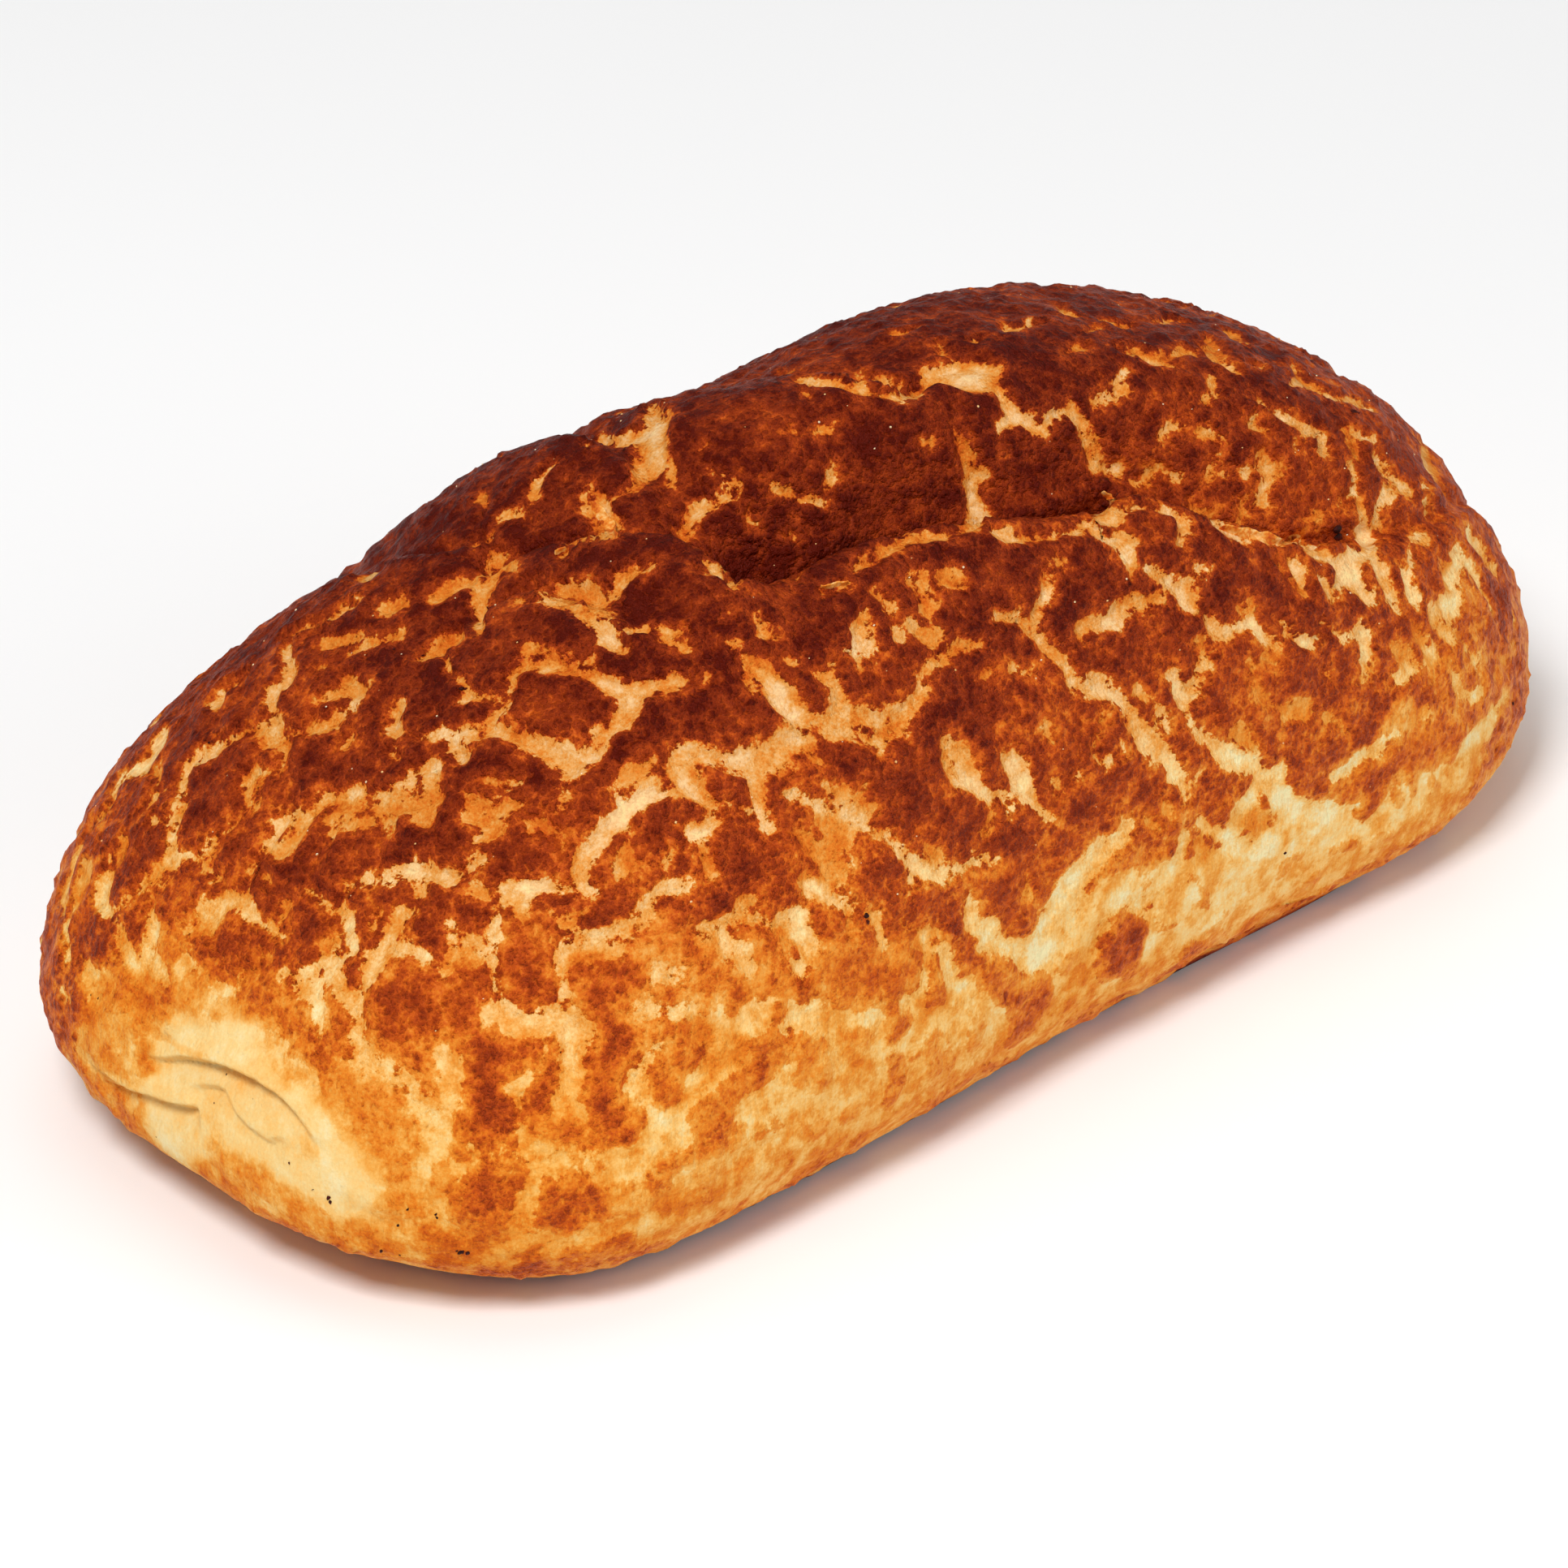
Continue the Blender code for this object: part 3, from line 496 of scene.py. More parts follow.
# %% Strokes: cracks in the middle of the front
MIDDLE_CRACKS = (
    (505, 908, 5, 545, 902, 6, 575, 898, 8),
    (600, 892, 14, 640, 905, 24, 665, 915, 24, 690, 930, 28, 705, 945, 22, 720, 932, 24, 742, 914, 20),
    (708, 960, 12, 700, 975, 8, 690, 1000, 6),
    (755, 960, 6, 765, 985, 8),
    (840, 925, 24, 830, 950, 22, 820, 975, 18, 790, 985, 22, 770, 1000, 24, 755, 1020, 24, 735, 1040, 24,
     720, 1060, 24, 712, 1075, 24, 716, 1090, 22, 735, 1095, 14),
    (560, 920, 14, 575, 922, 8),
    (615, 975, 6, 640, 965, 5),
    (600, 1018, 10, 590, 1035, 10),
    (520, 1075, 22, 550, 1080, 22, 575, 1072, 16, 592, 1060, 8),
    (620, 1090, 16, 650, 1095, 22, 680, 1095, 20, 700, 1090, 12),
    (620, 1110, 16, 612, 1125, 12, 605, 1145, 12, 603, 1170, 12, 605, 1200, 10, 612, 1225, 14, 630, 1248, 14,
     660, 1255, 16, 690, 1240, 16, 700, 1215, 12, 690, 1190, 12, 690, 1175, 12, 700, 1165, 16, 730, 1155, 20,
     760, 1150, 20, 785, 1140, 22, 800, 1120, 22, 815, 1105, 18, 835, 1095, 12, 845, 1088, 6),
    (520, 1100, 8, 515, 1120, 12, 500, 1130, 12, 488, 1140, 18, 475, 1155, 24, 490, 1165, 22, 510, 1175, 16,
     530, 1190, 12, 560, 1203, 8),
    (565, 1165, 12, 590, 1172, 16),
    (680, 1260, 14, 705, 1258, 22, 720, 1270, 22, 715, 1290, 26, 705, 1310, 24),
    (775, 1235, 8, 800, 1245, 16, 830, 1248, 14, 850, 1240, 12),
    (810, 1200, 22, 835, 1205, 16, 845, 1195, 10),
    (810, 1290, 10, 795, 1305, 10, 785, 1320, 12, 770, 1335, 14),
    (845, 965, 26, 870, 985, 22, 890, 1000, 18, 880, 1018, 16, 850, 1030, 16, 835, 1045, 10, 820, 1065, 6),
    (552, 912, 22, 565, 928, 26),
    (575, 905, 8, 600, 900, 10),
    (620, 1108, 14, 650, 1110, 12),
)

# %% Strokes: tan places, where the paste is thin or half torn
TAN_PLACES = (
    (395, 985, 14, 440, 990, 18, 490, 992, 16, 525, 985, 20, 530, 1005, 16),
    (580, 985, 16, 610, 998, 20, 640, 990, 14),
    (985, 1030, 20, 1010, 1050, 30, 1030, 1075, 26, 1010, 1090, 16),
    (860, 1270, 26, 890, 1290, 34, 915, 1300, 26),
    (540, 730, 16, 555, 722, 16, 572, 716, 12),
    (545, 800, 14, 550, 790, 12, 566, 784, 8),
    (455, 792, 8, 475, 786, 10, 495, 776, 8),
    (820, 786, 12, 834, 790, 16, 842, 800, 8),
    (430, 850, 14, 448, 848, 14, 428, 832, 12),
    (385, 828, 4, 405, 818, 4, 425, 804, 5, 450, 793, 8),
    (355, 780, 3, 378, 770, 4, 400, 760, 5),
    (700, 668, 4, 725, 664, 5, 750, 660, 6),
    (715, 610, 8, 722, 625, 8, 735, 650, 10),
    (975, 650, 6, 980, 662, 10),
    (922, 630, 10, 928, 645, 10),
    (1008, 530, 8, 1022, 526, 12, 1032, 518, 6),
    (972, 527, 8, 978, 532, 6),
    (867, 546, 4, 862, 553, 5),
    (980, 704, 8, 978, 716, 6),
    (1030, 815, 10, 1025, 820, 8),
    (1215, 832, 10, 1222, 822, 8),
    (1245, 824, 8, 1268, 828, 10, 1272, 818, 5),
    (1180, 704, 10, 1165, 706, 8),
    (1160, 780, 8, 1152, 792, 8),
    (970, 808, 8, 976, 815, 6),
    (1396, 590, 5, 1418, 589, 12, 1432, 584, 6),
    (1492, 578, 8, 1494, 588, 6),
    (1612, 636, 12, 1630, 632, 12),
    (1674, 618, 10, 1680, 632, 9),
    (1598, 545, 7, 1602, 550, 5),
    (1500, 684, 8, 1506, 690, 6),
    (1560, 808, 12, 1572, 815, 12),
    (1544, 826, 12, 1542, 842, 8),
    (1635, 828, 10, 1638, 836, 8),
    (1605, 870, 14, 1618, 874, 10),
    (1640, 888, 14, 1650, 894, 8),
    (1290, 890, 8, 1295, 905, 7),
    (1540, 830, 6, 1545, 838, 5),
    (1050, 468, 4, 1066, 462, 5, 1080, 466, 6),
    (960, 458, 5, 976, 462, 6),
    (1130, 400, 4, 1112, 408, 8, 1100, 410, 5),
    (1236, 552, 4, 1236, 540, 4, 1232, 528, 3),
    (1160, 424, 6, 1163, 434, 5),
    (1306, 376, 6, 1312, 386, 5, 1330, 388, 4),
    (1310, 435, 5, 1335, 425, 10),
    (1465, 430, 7, 1474, 433, 5),
    (1545, 448, 5, 1556, 452, 4),
    (340, 1110, 8, 352, 1118, 6),
    (470, 1020, 6, 480, 1028, 6),
    (690, 1130, 8, 720, 1120, 8),
    (1000, 930, 8, 1020, 935, 8),
    (1510, 1025, 10, 1545, 1008, 8),
    (1795, 780, 10, 1806, 792, 8),
    (1850, 805, 8, 1858, 815, 6),
    (760, 1045, 10, 780, 1030, 8),
)
NEAR_TAN = (
    (325, 912, 14, 345, 905, 14),
    (262, 862, 14, 268, 868, 12),
    (405, 858, 10, 430, 848, 16, 450, 845, 10),
    (395, 860, 6, 385, 885, 8),
    (400, 792, 10, 440, 783, 12),
    (480, 745, 14, 497, 735, 10),
    (430, 905, 12, 425, 918, 8),
    (318, 960, 10, 316, 990, 8),
    (372, 1010, 20, 358, 1035, 20, 345, 1050, 14),
    (400, 1008, 12, 440, 1012, 12, 480, 1010, 12),
    (150, 1040, 12, 140, 1058, 14),
    (190, 945, 10, 195, 960, 5),
    (318, 1080, 12, 330, 1085, 10),
    (262, 1045, 10, 270, 1035, 6),
    (100, 1085, 20, 92, 1108, 12),
    (165, 1195, 26, 180, 1215, 30, 170, 1240, 40),
    (300, 1195, 16, 325, 1182, 14),
    (352, 1112, 10, 345, 1130, 10),
    (240, 1140, 20, 262, 1150, 16),
    (400, 1165, 20, 415, 1150, 14),
)
SHOULDER_TAN = (
    (600, 660, 8, 612, 680, 18, 625, 700, 14),
    (480, 735, 10, 500, 745, 8),
    (520, 810, 8, 540, 800, 14),
    (690, 722, 20, 730, 735, 24, 745, 750, 16),
    (825, 565, 14, 830, 590, 12),
    (588, 612, 8, 597, 622, 6),
    (662, 588, 6, 656, 610, 5),
    (650, 800, 14, 690, 808, 12, 730, 812, 10),
    (825, 785, 14, 845, 798, 14),
    (1085, 468, 8, 1105, 474, 8),
    (993, 478, 8, 998, 490, 5),
    (1135, 548, 14, 1150, 540, 8),
    (1160, 712, 22, 1190, 718, 14),
    (1056, 802, 8, 1062, 828, 4),
    (1130, 775, 18, 1150, 790, 16, 1160, 800, 10),
    (1010, 835, 10, 1030, 850, 14, 1035, 870, 16),
    (935, 815, 26, 955, 845, 30, 985, 875, 26),
)
MIDDLE_TAN = (
    (485, 895, 14, 490, 902, 10),
    (528, 965, 28, 535, 985, 24),
    (520, 1008, 22, 528, 1014, 16),
    (600, 960, 12, 640, 965, 8),
    (590, 1005, 26, 610, 1020, 20, 600, 1035, 14),
    (650, 1010, 14, 660, 1025, 10),
    (665, 1010, 18, 685, 1030, 16, 690, 1045, 10),
    (765, 955, 16, 785, 950, 20, 800, 940, 20),
    (850, 950, 30, 865, 975, 24),
    (775, 1045, 24, 765, 1070, 20, 790, 1060, 14),
    (868, 1050, 12, 875, 1075, 14),
    (645, 1128, 16, 655, 1134, 10),
    (515, 1095, 22, 520, 1104, 14),
    (580, 1095, 14, 600, 1100, 10),
    (465, 1130, 16, 458, 1142, 10),
    (575, 1160, 26, 560, 1180, 24, 590, 1195, 14),
    (700, 1180, 24, 730, 1178, 28, 760, 1175, 24),
    (865, 1165, 24, 872, 1172, 16),
    (975, 945, 14, 962, 955, 10),
    (1015, 970, 8, 1040, 975, 12),
    (1068, 965, 8, 1062, 985, 12, 1075, 995, 14),
    (1010, 1010, 14, 1035, 1020, 26, 1020, 1045, 26, 1050, 1035, 22),
    (995, 1080, 14, 998, 1100, 14),
    (1125, 1085, 12, 1118, 1105, 8),
    (1145, 1042, 10, 1165, 1055, 8),
    (1222, 1005, 8, 1215, 1030, 8),
    (1180, 925, 20, 1195, 945, 26, 1180, 960, 18),
    (1048, 1125, 8, 1050, 1150, 10),
    (915, 1112, 16, 930, 1105, 14),
    (960, 1150, 20, 990, 1155, 30, 1000, 1175, 20),
    (890, 1160, 20, 905, 1180, 16, 930, 1195, 14),
    (1110, 1140, 14, 1140, 1155, 16, 1160, 1150, 12),
)
RIDGE_TAN = (
    (1400, 430, 10, 1425, 442, 14, 1450, 435, 10, 1462, 428, 8),
    (1490, 415, 10, 1515, 450, 12, 1525, 455, 8),
    (1515, 408, 8, 1527, 420, 8),
    (1385, 480, 16, 1375, 490, 14),
    (1352, 545, 10, 1348, 568, 8),
    (1360, 572, 16, 1378, 575, 14),
    (1410, 585, 16, 1430, 578, 12, 1450, 590, 10),
    (1478, 528, 8, 1500, 545, 10),
    (1495, 565, 8, 1492, 590, 8),
    (1470, 612, 8, 1488, 635, 18),
    (1560, 560, 20, 1580, 585, 14),
    (1535, 625, 16, 1530, 640, 12),
    (1600, 455, 8, 1615, 470, 10),
    (1630, 550, 12, 1640, 555, 8),
    (1615, 672, 16, 1635, 680, 14),
    (1378, 660, 18, 1400, 662, 14, 1420, 660, 6),
    (1392, 690, 6, 1397, 712, 6),
    (1305, 690, 8, 1312, 698, 8),
    (1460, 720, 14, 1475, 745, 12),
    (1595, 690, 14, 1610, 725, 14),
    (1575, 690, 8, 1590, 710, 12, 1605, 725, 10),
)
FRONT_TAN = (
    (1330, 785, 10, 1335, 795, 6),
    (1400, 848, 12, 1412, 858, 10),
    (1425, 885, 14, 1430, 892, 10),
    (1478, 800, 12, 1483, 790, 14),
    (1535, 750, 16, 1545, 745, 10),
    (1550, 850, 10, 1560, 862, 12, 1572, 870, 10),
    (1585, 880, 22, 1600, 872, 20, 1610, 885, 14),
    (1520, 905, 16, 1535, 905, 18, 1545, 918, 14),
    (1437, 990, 8, 1440, 1005, 8),
    (1418, 1010, 12, 1425, 1020, 10),
    (1300, 975, 12, 1308, 982, 8),
    (1360, 885, 12, 1355, 895, 8),
    (1388, 890, 10, 1394, 896, 6),
    (1272, 1085, 8, 1270, 1100, 10),
    (1520, 1018, 20, 1545, 1010, 26, 1560, 1022, 20),
    (1476, 1039, 16, 1497, 1060, 18, 1500, 1080, 14),
    (1636, 886, 14, 1648, 892, 10),
)
FAR_TAN = (
    (1668, 545, 14, 1672, 558, 8),
    (1700, 565, 12, 1712, 585, 12),
    (1762, 560, 10, 1775, 590, 10, 1785, 612, 6),
    (1730, 600, 14, 1736, 608, 10),
    (1712, 600, 10, 1700, 640, 14),
    (1755, 655, 10, 1758, 670, 8),
    (1785, 700, 14, 1790, 720, 14),
    (1740, 770, 10, 1750, 785, 16, 1760, 800, 16, 1770, 815, 14, 1785, 810, 10),
    (1720, 800, 12, 1735, 810, 12, 1740, 825, 16),
    (1690, 825, 14, 1680, 840, 10),
    (1755, 880, 14, 1740, 890, 10),
)
print("strokes followed on the crust:", sum(map(len, (
    GROUND, RUST_PLATES, BROWN_PLATES, ORANGE_PLATES, NEAR_CRACKS, SHOULDER_CRACKS, RIDGE_CRACKS,
    FRONT_CRACKS, MIDDLE_CRACKS, TAN_PLACES, NEAR_TAN, SHOULDER_TAN, MIDDLE_TAN, RIDGE_TAN, FRONT_TAN, FAR_TAN,
))))

# %% [markdown]
# ## The dough
#
# The visible loaf starts as a copy of the solid's mesh. That copy is loose triangles, so its points are merged
# first. The flat base is taken off for now, pairs of triangles are joined into quads, and a Subdivision Surface
# turns the coarse net into smooth dough. A remesh would also give a fine net, but it would blur the folds and
# forget the level of the base. Two levels give quads of just over a millimetre, small enough for the plates of
# the crust to stand up from the cracks.

# %% Copy the solid and make it a net of quads
BASE_LEVEL = 0.01 * MM
MERGE_WITHIN = 0.001 * MM
SMOOTH_LEVELS = 2
QUAD_ANGLE = math.radians(50.0)


def new_object(name, mesh):
    thing = bpy.data.objects.new(name, mesh)
    scene.collection.objects.link(thing)
    return thing


def plain_mesh(thing, name):
    """The mesh that an object's modifiers make, as a mesh of its own. The object is removed."""
    bpy.context.view_layer.update()
    graph = bpy.context.evaluated_depsgraph_get()
    mesh = bpy.data.meshes.new_from_object(thing.evaluated_get(graph))
    mesh.name = name
    bpy.data.objects.remove(thing)
    return mesh


cage = bmesh.new()
cage.from_mesh(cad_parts["loaf"].data)
bmesh.ops.remove_doubles(cage, verts=cage.verts, dist=MERGE_WITHIN)
base = [face for face in cage.faces if all(vertex.co.z < BASE_LEVEL for vertex in face.verts)]
bmesh.ops.delete(cage, geom=base, context="FACES")
bmesh.ops.join_triangles(
    cage, faces=cage.faces, angle_face_threshold=QUAD_ANGLE, angle_shape_threshold=QUAD_ANGLE
)
quads = sum(len(face.verts) == 4 for face in cage.faces)
print("the net has", quads, "quads and", len(cage.faces) - quads, "triangles")
cage_mesh = bpy.data.meshes.new("cage")
cage.to_mesh(cage_mesh)
cage.free()
dough = new_object("dough", cage_mesh)
smoothing = dough.modifiers.new("smooth", "SUBSURF")
smoothing.levels = smoothing.render_levels = SMOOTH_LEVELS
dough_mesh = plain_mesh(dough, "dough")
print("the dough has", len(dough_mesh.polygons), "faces")

# %% [markdown]
# ## The folds
#
# The loaf was rolled up and its roll opened in the oven: a long lip runs along the front of the top, with a
# deep valley behind it, and smaller folds cross the near shoulder. The solid has these folds, softened to suit
# its coarse net. Sculpting by hand couldn't be repeated, and a Boolean cut would leave hard edges, so the same
# paths are followed again here and each fold is drawn tighter: its lip leans a little over the valley, ends in
# a narrow bead, and drops more steeply into a crease under it.

# %% Draw the folds tighter
LOAF_REACH = np.array((0.145, 0.0725, 0.090))
LOAF_HEART = np.array((0.0, 0.0, 0.018))
LEAN_WIDTH = 5.0 * MM
BEAD_HEIGHT = 0.7 * MM
BEAD_WIDTH = 2.0 * MM
STEEP_WITHIN = 4.5 * MM
SOFT_WITHIN = 9.0 * MM
FULL_DEPTH = 0.018

# x, y, z of the lip, and the valley's depth there, in metres. The valley is on the left of the path.
FRONT_FOLD = (
    (-0.046, -0.030, 0.097, 0.000), (-0.037, -0.031, 0.096, 0.014), (-0.012, -0.033, 0.097, 0.018),
    (0.004, -0.036, 0.095, 0.017), (0.026, -0.041, 0.090, 0.015), (0.038, -0.041, 0.090, 0.016),
    (0.050, -0.046, 0.083, 0.013), (0.068, -0.051, 0.072, 0.010), (0.082, -0.051, 0.067, 0.007),
    (0.099, -0.049, 0.062, 0.003), (0.120, -0.041, 0.056, 0.003), (0.134, -0.034, 0.046, 0.002),
)
MIDDLE_FOLD = (
    (-0.074, 0.008, 0.092, 0.000), (-0.064, 0.006, 0.095, 0.005), (-0.054, -0.003, 0.099, 0.007),
    (-0.046, -0.013, 0.100, 0.010), (-0.042, -0.026, 0.098, 0.012), (-0.040, -0.033, 0.096, 0.000),
)
NEAR_FOLD = (
    (-0.088, -0.004, 0.086, 0.000), (-0.078, -0.002, 0.091, 0.003), (-0.069, -0.005, 0.094, 0.004),
    (-0.064, -0.018, 0.095, 0.004), (-0.064, -0.030, 0.092, 0.000),
)
RIDGE_FOLD = (
    (-0.030, 0.028, 0.102, 0.002), (-0.010, 0.015, 0.106, 0.004), (0.003, 0.000, 0.108, 0.005),
    (0.012, -0.010, 0.107, 0.004), (0.030, -0.014, 0.106, 0.000),
)
SHOULDER_FOLD = (
    (-0.040, 0.040, 0.092, 0.003), (-0.037, 0.022, 0.100, 0.004), (-0.038, 0.004, 0.103, 0.003),
    (-0.042, -0.008, 0.102, 0.000),
)
LEFT_FOLD = (
    (-0.080, 0.045, 0.078, 0.003), (-0.075, 0.030, 0.088, 0.004), (-0.071, 0.020, 0.093, 0.003),
    (-0.062, 0.012, 0.096, 0.000),
)
FOLDS = (FRONT_FOLD, MIDDLE_FOLD, NEAR_FOLD, RIDGE_FOLD, SHOULDER_FOLD, LEFT_FOLD)


def smooth_step(value):
    """0 below 0, 1 above 1 and an S-curve between."""
    value = np.clip(value, 0.0, 1.0)
    return value * value * (3.0 - 2.0 * value)


def bell(distance, width):
    """1 at a distance of 0, and less and less on both sides."""
    return np.exp(-((distance / width) ** 2))


def distances(points, place):
    return np.linalg.norm(points - place, axis=1)


def unit(vectors):
    """The same directions with a length of 1. Nothing is divided by 0."""
    return vectors / np.maximum(np.linalg.norm(vectors, axis=-1, keepdims=True), 1e-9)


def outward(points):
    """The way out of a plain rounded loaf, without folds, at each point."""
    return unit((points - LOAF_HEART) / LOAF_REACH**2)


def read_points(mesh):
    points = np.empty(len(mesh.vertices) * 3)
    mesh.vertices.foreach_get("co", points)
    return points.reshape(-1, 3)


def read_normals(mesh):
    normals = np.empty(len(mesh.vertices) * 3)
    mesh.vertices.foreach_get("normal", normals)
    return normals.reshape(-1, 3)


def write_points(mesh, points):
    mesh.vertices.foreach_set("co", points.ravel())
    mesh.update()


def beside_path(points, path):
    """How far each point lies to the left of a path, seen from outside, the way left, and the depth there."""
    path = np.array(path)
    nearest = np.full(len(points), np.inf)
    aside, depth = np.zeros(len(points)), np.zeros(len(points))
    left = np.zeros_like(points)
    for start, end in zip(path[:-1], path[1:]):
        run = end[:3] - start[:3]
        share = np.clip((points - start[:3]) @ run / (run @ run), 0.0, 1.0)
        foot = start[:3] + share[:, None] * run
        out = outward(foot)
        way = unit(np.cross(out, run))
        offset = points - foot
        level = offset - np.sum(offset * out, axis=1)[:, None] * out
        distance = np.linalg.norm(level, axis=1)
        closer = distance < nearest
        aside = np.where(closer, np.sign(np.sum(level * way, axis=1)) * distance, aside)
        depth = np.where(closer, start[3] + share * (end[3] - start[3]), depth)
        left = np.where(closer[:, None], way, left)
        nearest = np.minimum(nearest, distance)
    return aside, left, depth


LEAN = 2.6 * MM
STEEPENING = 0.45
TUCK_DEPTH = 5.0 * MM
TUCK_AT = 3.6 * MM
TUCK_WIDTH = 2.2 * MM
FOLD_REFINED, DEEP_FOLD = 6.0 * MM, 4.0 * MM


def refine(mesh, chosen):
    """Cuts each face whose corners are all chosen into four. Returns the number of faces that this adds."""
    body = bmesh.new()
    body.from_mesh(mesh)
    faces = [face for face in body.faces if all(chosen[vertex.index] for vertex in face.verts)]
    edges = sorted({edge for face in faces for edge in face.edges}, key=lambda edge: edge.index)
    before = len(body.faces)
    bmesh.ops.subdivide_edges(body, edges=edges, cuts=1, use_grid_fill=True)
    body.to_mesh(mesh)
    body.free()
    mesh.update()
    return len(mesh.polygons) - before


crust_points = read_points(dough_mesh)
aside, _, depth = beside_path(crust_points, FRONT_FOLD)
print("faces added at the lip:", refine(dough_mesh, (np.abs(aside) < FOLD_REFINED) & (depth > DEEP_FOLD)))
crust_points = read_points(dough_mesh)
rim = crust_points[:, 2] < BASE_LEVEL
moves = np.zeros_like(crust_points)
for fold in FOLDS:
    aside, left, depth = beside_path(crust_points, fold)
    share = depth / FULL_DEPTH
    lean = LEAN * np.sqrt(share) * bell(aside, LEAN_WIDTH)
    bead = BEAD_HEIGHT * np.sqrt(share) * bell(aside, BEAD_WIDTH)
    steeper = STEEPENING * depth * (smooth_step(aside / STEEP_WITHIN) - smooth_step(aside / SOFT_WITHIN))
    tuck = TUCK_DEPTH * share * bell(aside - TUCK_AT, TUCK_WIDTH)
    moves += left * lean[:, None] + outward(crust_points) * (bead - steeper - tuck)[:, None]
moves[rim] = 0.0
write_points(dough_mesh, crust_points + moves)
print("the furthest move, in mm:", round(1000 * np.linalg.norm(moves, axis=1).max(), 2))

# %% Find the crust behind a pixel
LIP_PIXEL = (1200, 643)
crust_tree = BVHTree.FromPolygons(
    [vertex.co for vertex in dough_mesh.vertices], [face.vertices for face in dough_mesh.polygons]
)


def on_crust(x, y):
    """The place on the crust behind a pixel of the photograph, and the way out of it."""
    line = photo_line(x, y)
    place, normal, _, _ = crust_tree.ray_cast(camera_place, line)
    if place is None:
        beside = camera_place + line * line.dot(LOOKED_AT - camera_place)
        place, normal, _, _ = crust_tree.find_nearest(beside)
    return place, normal


lip_place = on_crust(*LIP_PIXEL)[0]
print("the lip's place behind pixel", LIP_PIXEL, "in mm:", [round(1000 * value, 1) for value in lip_place])

# %% [markdown]
# ## The pale end
#
# The end of the roll shows as a pale swirl with creases, where one layer of dough tucks under the next.
# They are carved as steps: the layer above keeps its edge, and the layer below starts deep under it and rises
# away. A bump map could draw the same lines, but it would leave the outline smooth and the creases without
# shade. Below each step the colour is darkened as well, which is painted shade.

# %% Carve the creases, with painted shade below them
# x, y and depth in millimetres. The layer on the right of the path tucks under the one on the left.
CREASES = (
    ((180, 1301, 0.0), (190, 1301, 0.8), (205, 1302, 1.1), (225, 1300, 1.4), (245, 1303, 1.7), (262, 1306, 2.0),
     (281, 1312, 2.3), (293, 1317, 2.2), (318, 1329, 1.9), (327, 1337, 1.6), (340, 1344, 1.5), (355, 1357, 1.5),
     (366, 1370, 1.2), (385, 1396, 0.5), (402, 1415, 0.0)),
    ((115, 1326, 0.0), (135, 1334, 1.0), (153, 1339, 1.2), (183, 1347, 1.4), (200, 1353, 1.6), (217, 1358, 1.7),
     (235, 1361, 1.6), (243, 1360, 0.0)),
    ((222, 1341, 0.0), (238, 1336, 0.5), (250, 1335, 0.8), (266, 1337, 1.0), (275, 1341, 0.7), (283, 1353, 0.7),
     (292, 1370, 0.7), (305, 1384, 0.7), (318, 1393, 0.8), (330, 1402, 0.7), (345, 1399, 0.5), (358, 1405, 0.0)),
    ((168, 1288, 0.0), (178, 1296, 0.5), (190, 1301, 0.0)),
    ((180, 1256, 0.0), (190, 1263, 0.7), (205, 1270, 0.9), (222, 1272, 0.0)),
    ((198, 1206, 0.0), (208, 1230, 0.5), (224, 1244, 0.7), (246, 1256, 0.5), (272, 1258, 0.0)),
    ((395, 1450, 0.0), (425, 1470, 0.4), (460, 1490, 0.5), (500, 1498, 0.5), (528, 1504, 0.0)),
    ((100, 1298, 0.0), (112, 1312, 0.6), (130, 1322, 0.7), (150, 1335, 0.4), (160, 1338, 0.0)),
)
CREASE_REFINED = 5.0 * MM
CREASE_CUTS = 2
MAIN_CREASES = 4
CREASE_GAIN = 1.35
CREASE_DROP = 1.0 * MM
CREASE_RISE = 8.0 * MM
CREASE_SWELL = 0.35
CREASE_SWELL_WIDTH = 3.0 * MM
# The painted shade below each crease: its edge and reach, and the depth of crease at which it is full
SHADE_EDGE, SHADE_REACH = 0.7 * MM, 2.4 * MM
FULL_SHADE_DEPTH = 1.5 * MM

crease_paths = [[(*on_crust(x, y)[0], depth * MM) for x, y, depth in crease] for crease in CREASES]
for round_of_cuts in range(CREASE_CUTS):
    crust_points = read_points(dough_mesh)
    aside = np.min([np.abs(beside_path(crust_points, path)[0]) for path in crease_paths[:MAIN_CREASES]], axis=0)
    print("faces added at the creases:", refine(dough_mesh, aside < CREASE_REFINED / (1 + round_of_cuts)))
crust_points = read_points(dough_mesh)
crust_normals = read_normals(dough_mesh)
height = np.zeros(len(crust_points))
crease_shade = np.zeros(len(crust_points))
for path in crease_paths:
    aside, _, depth = beside_path(crust_points, path)
    tucked = smooth_step(-aside / CREASE_DROP) * (1.0 - np.clip(-aside / CREASE_RISE, 0.0, 1.0)) ** 2
    swell = CREASE_SWELL * bell(aside, CREASE_SWELL_WIDTH) * (aside > -CREASE_DROP)
    height += CREASE_GAIN * depth * (swell - tucked)
    # Painted shade: how much the colour is darkened under the edge of each crease, fading away from it
    shade = smooth_step(0.5 - aside / SHADE_EDGE) * np.exp(np.minimum(aside, 0.0) / SHADE_REACH)
    crease_shade = np.maximum(crease_shade, shade * np.clip(depth / FULL_SHADE_DEPTH, 0.0, 1.0))
height[crust_points[:, 2] < BASE_LEVEL] = 0.0
write_points(dough_mesh, crust_points + crust_normals * height[:, None])
print("the deepest crease, in mm:", round(1000 * -height.min(), 2))

# %% [markdown]
# ## The near rim
#
# The lower edge of the near end curls up a little from the tray, as a crust does where it dries first. The
# solid's rim is flat all round. The points of the net could be moved one by one, but a smooth hump of lift
# around two places keeps the curve even, and it fades out higher up, so that the side keeps its shape.

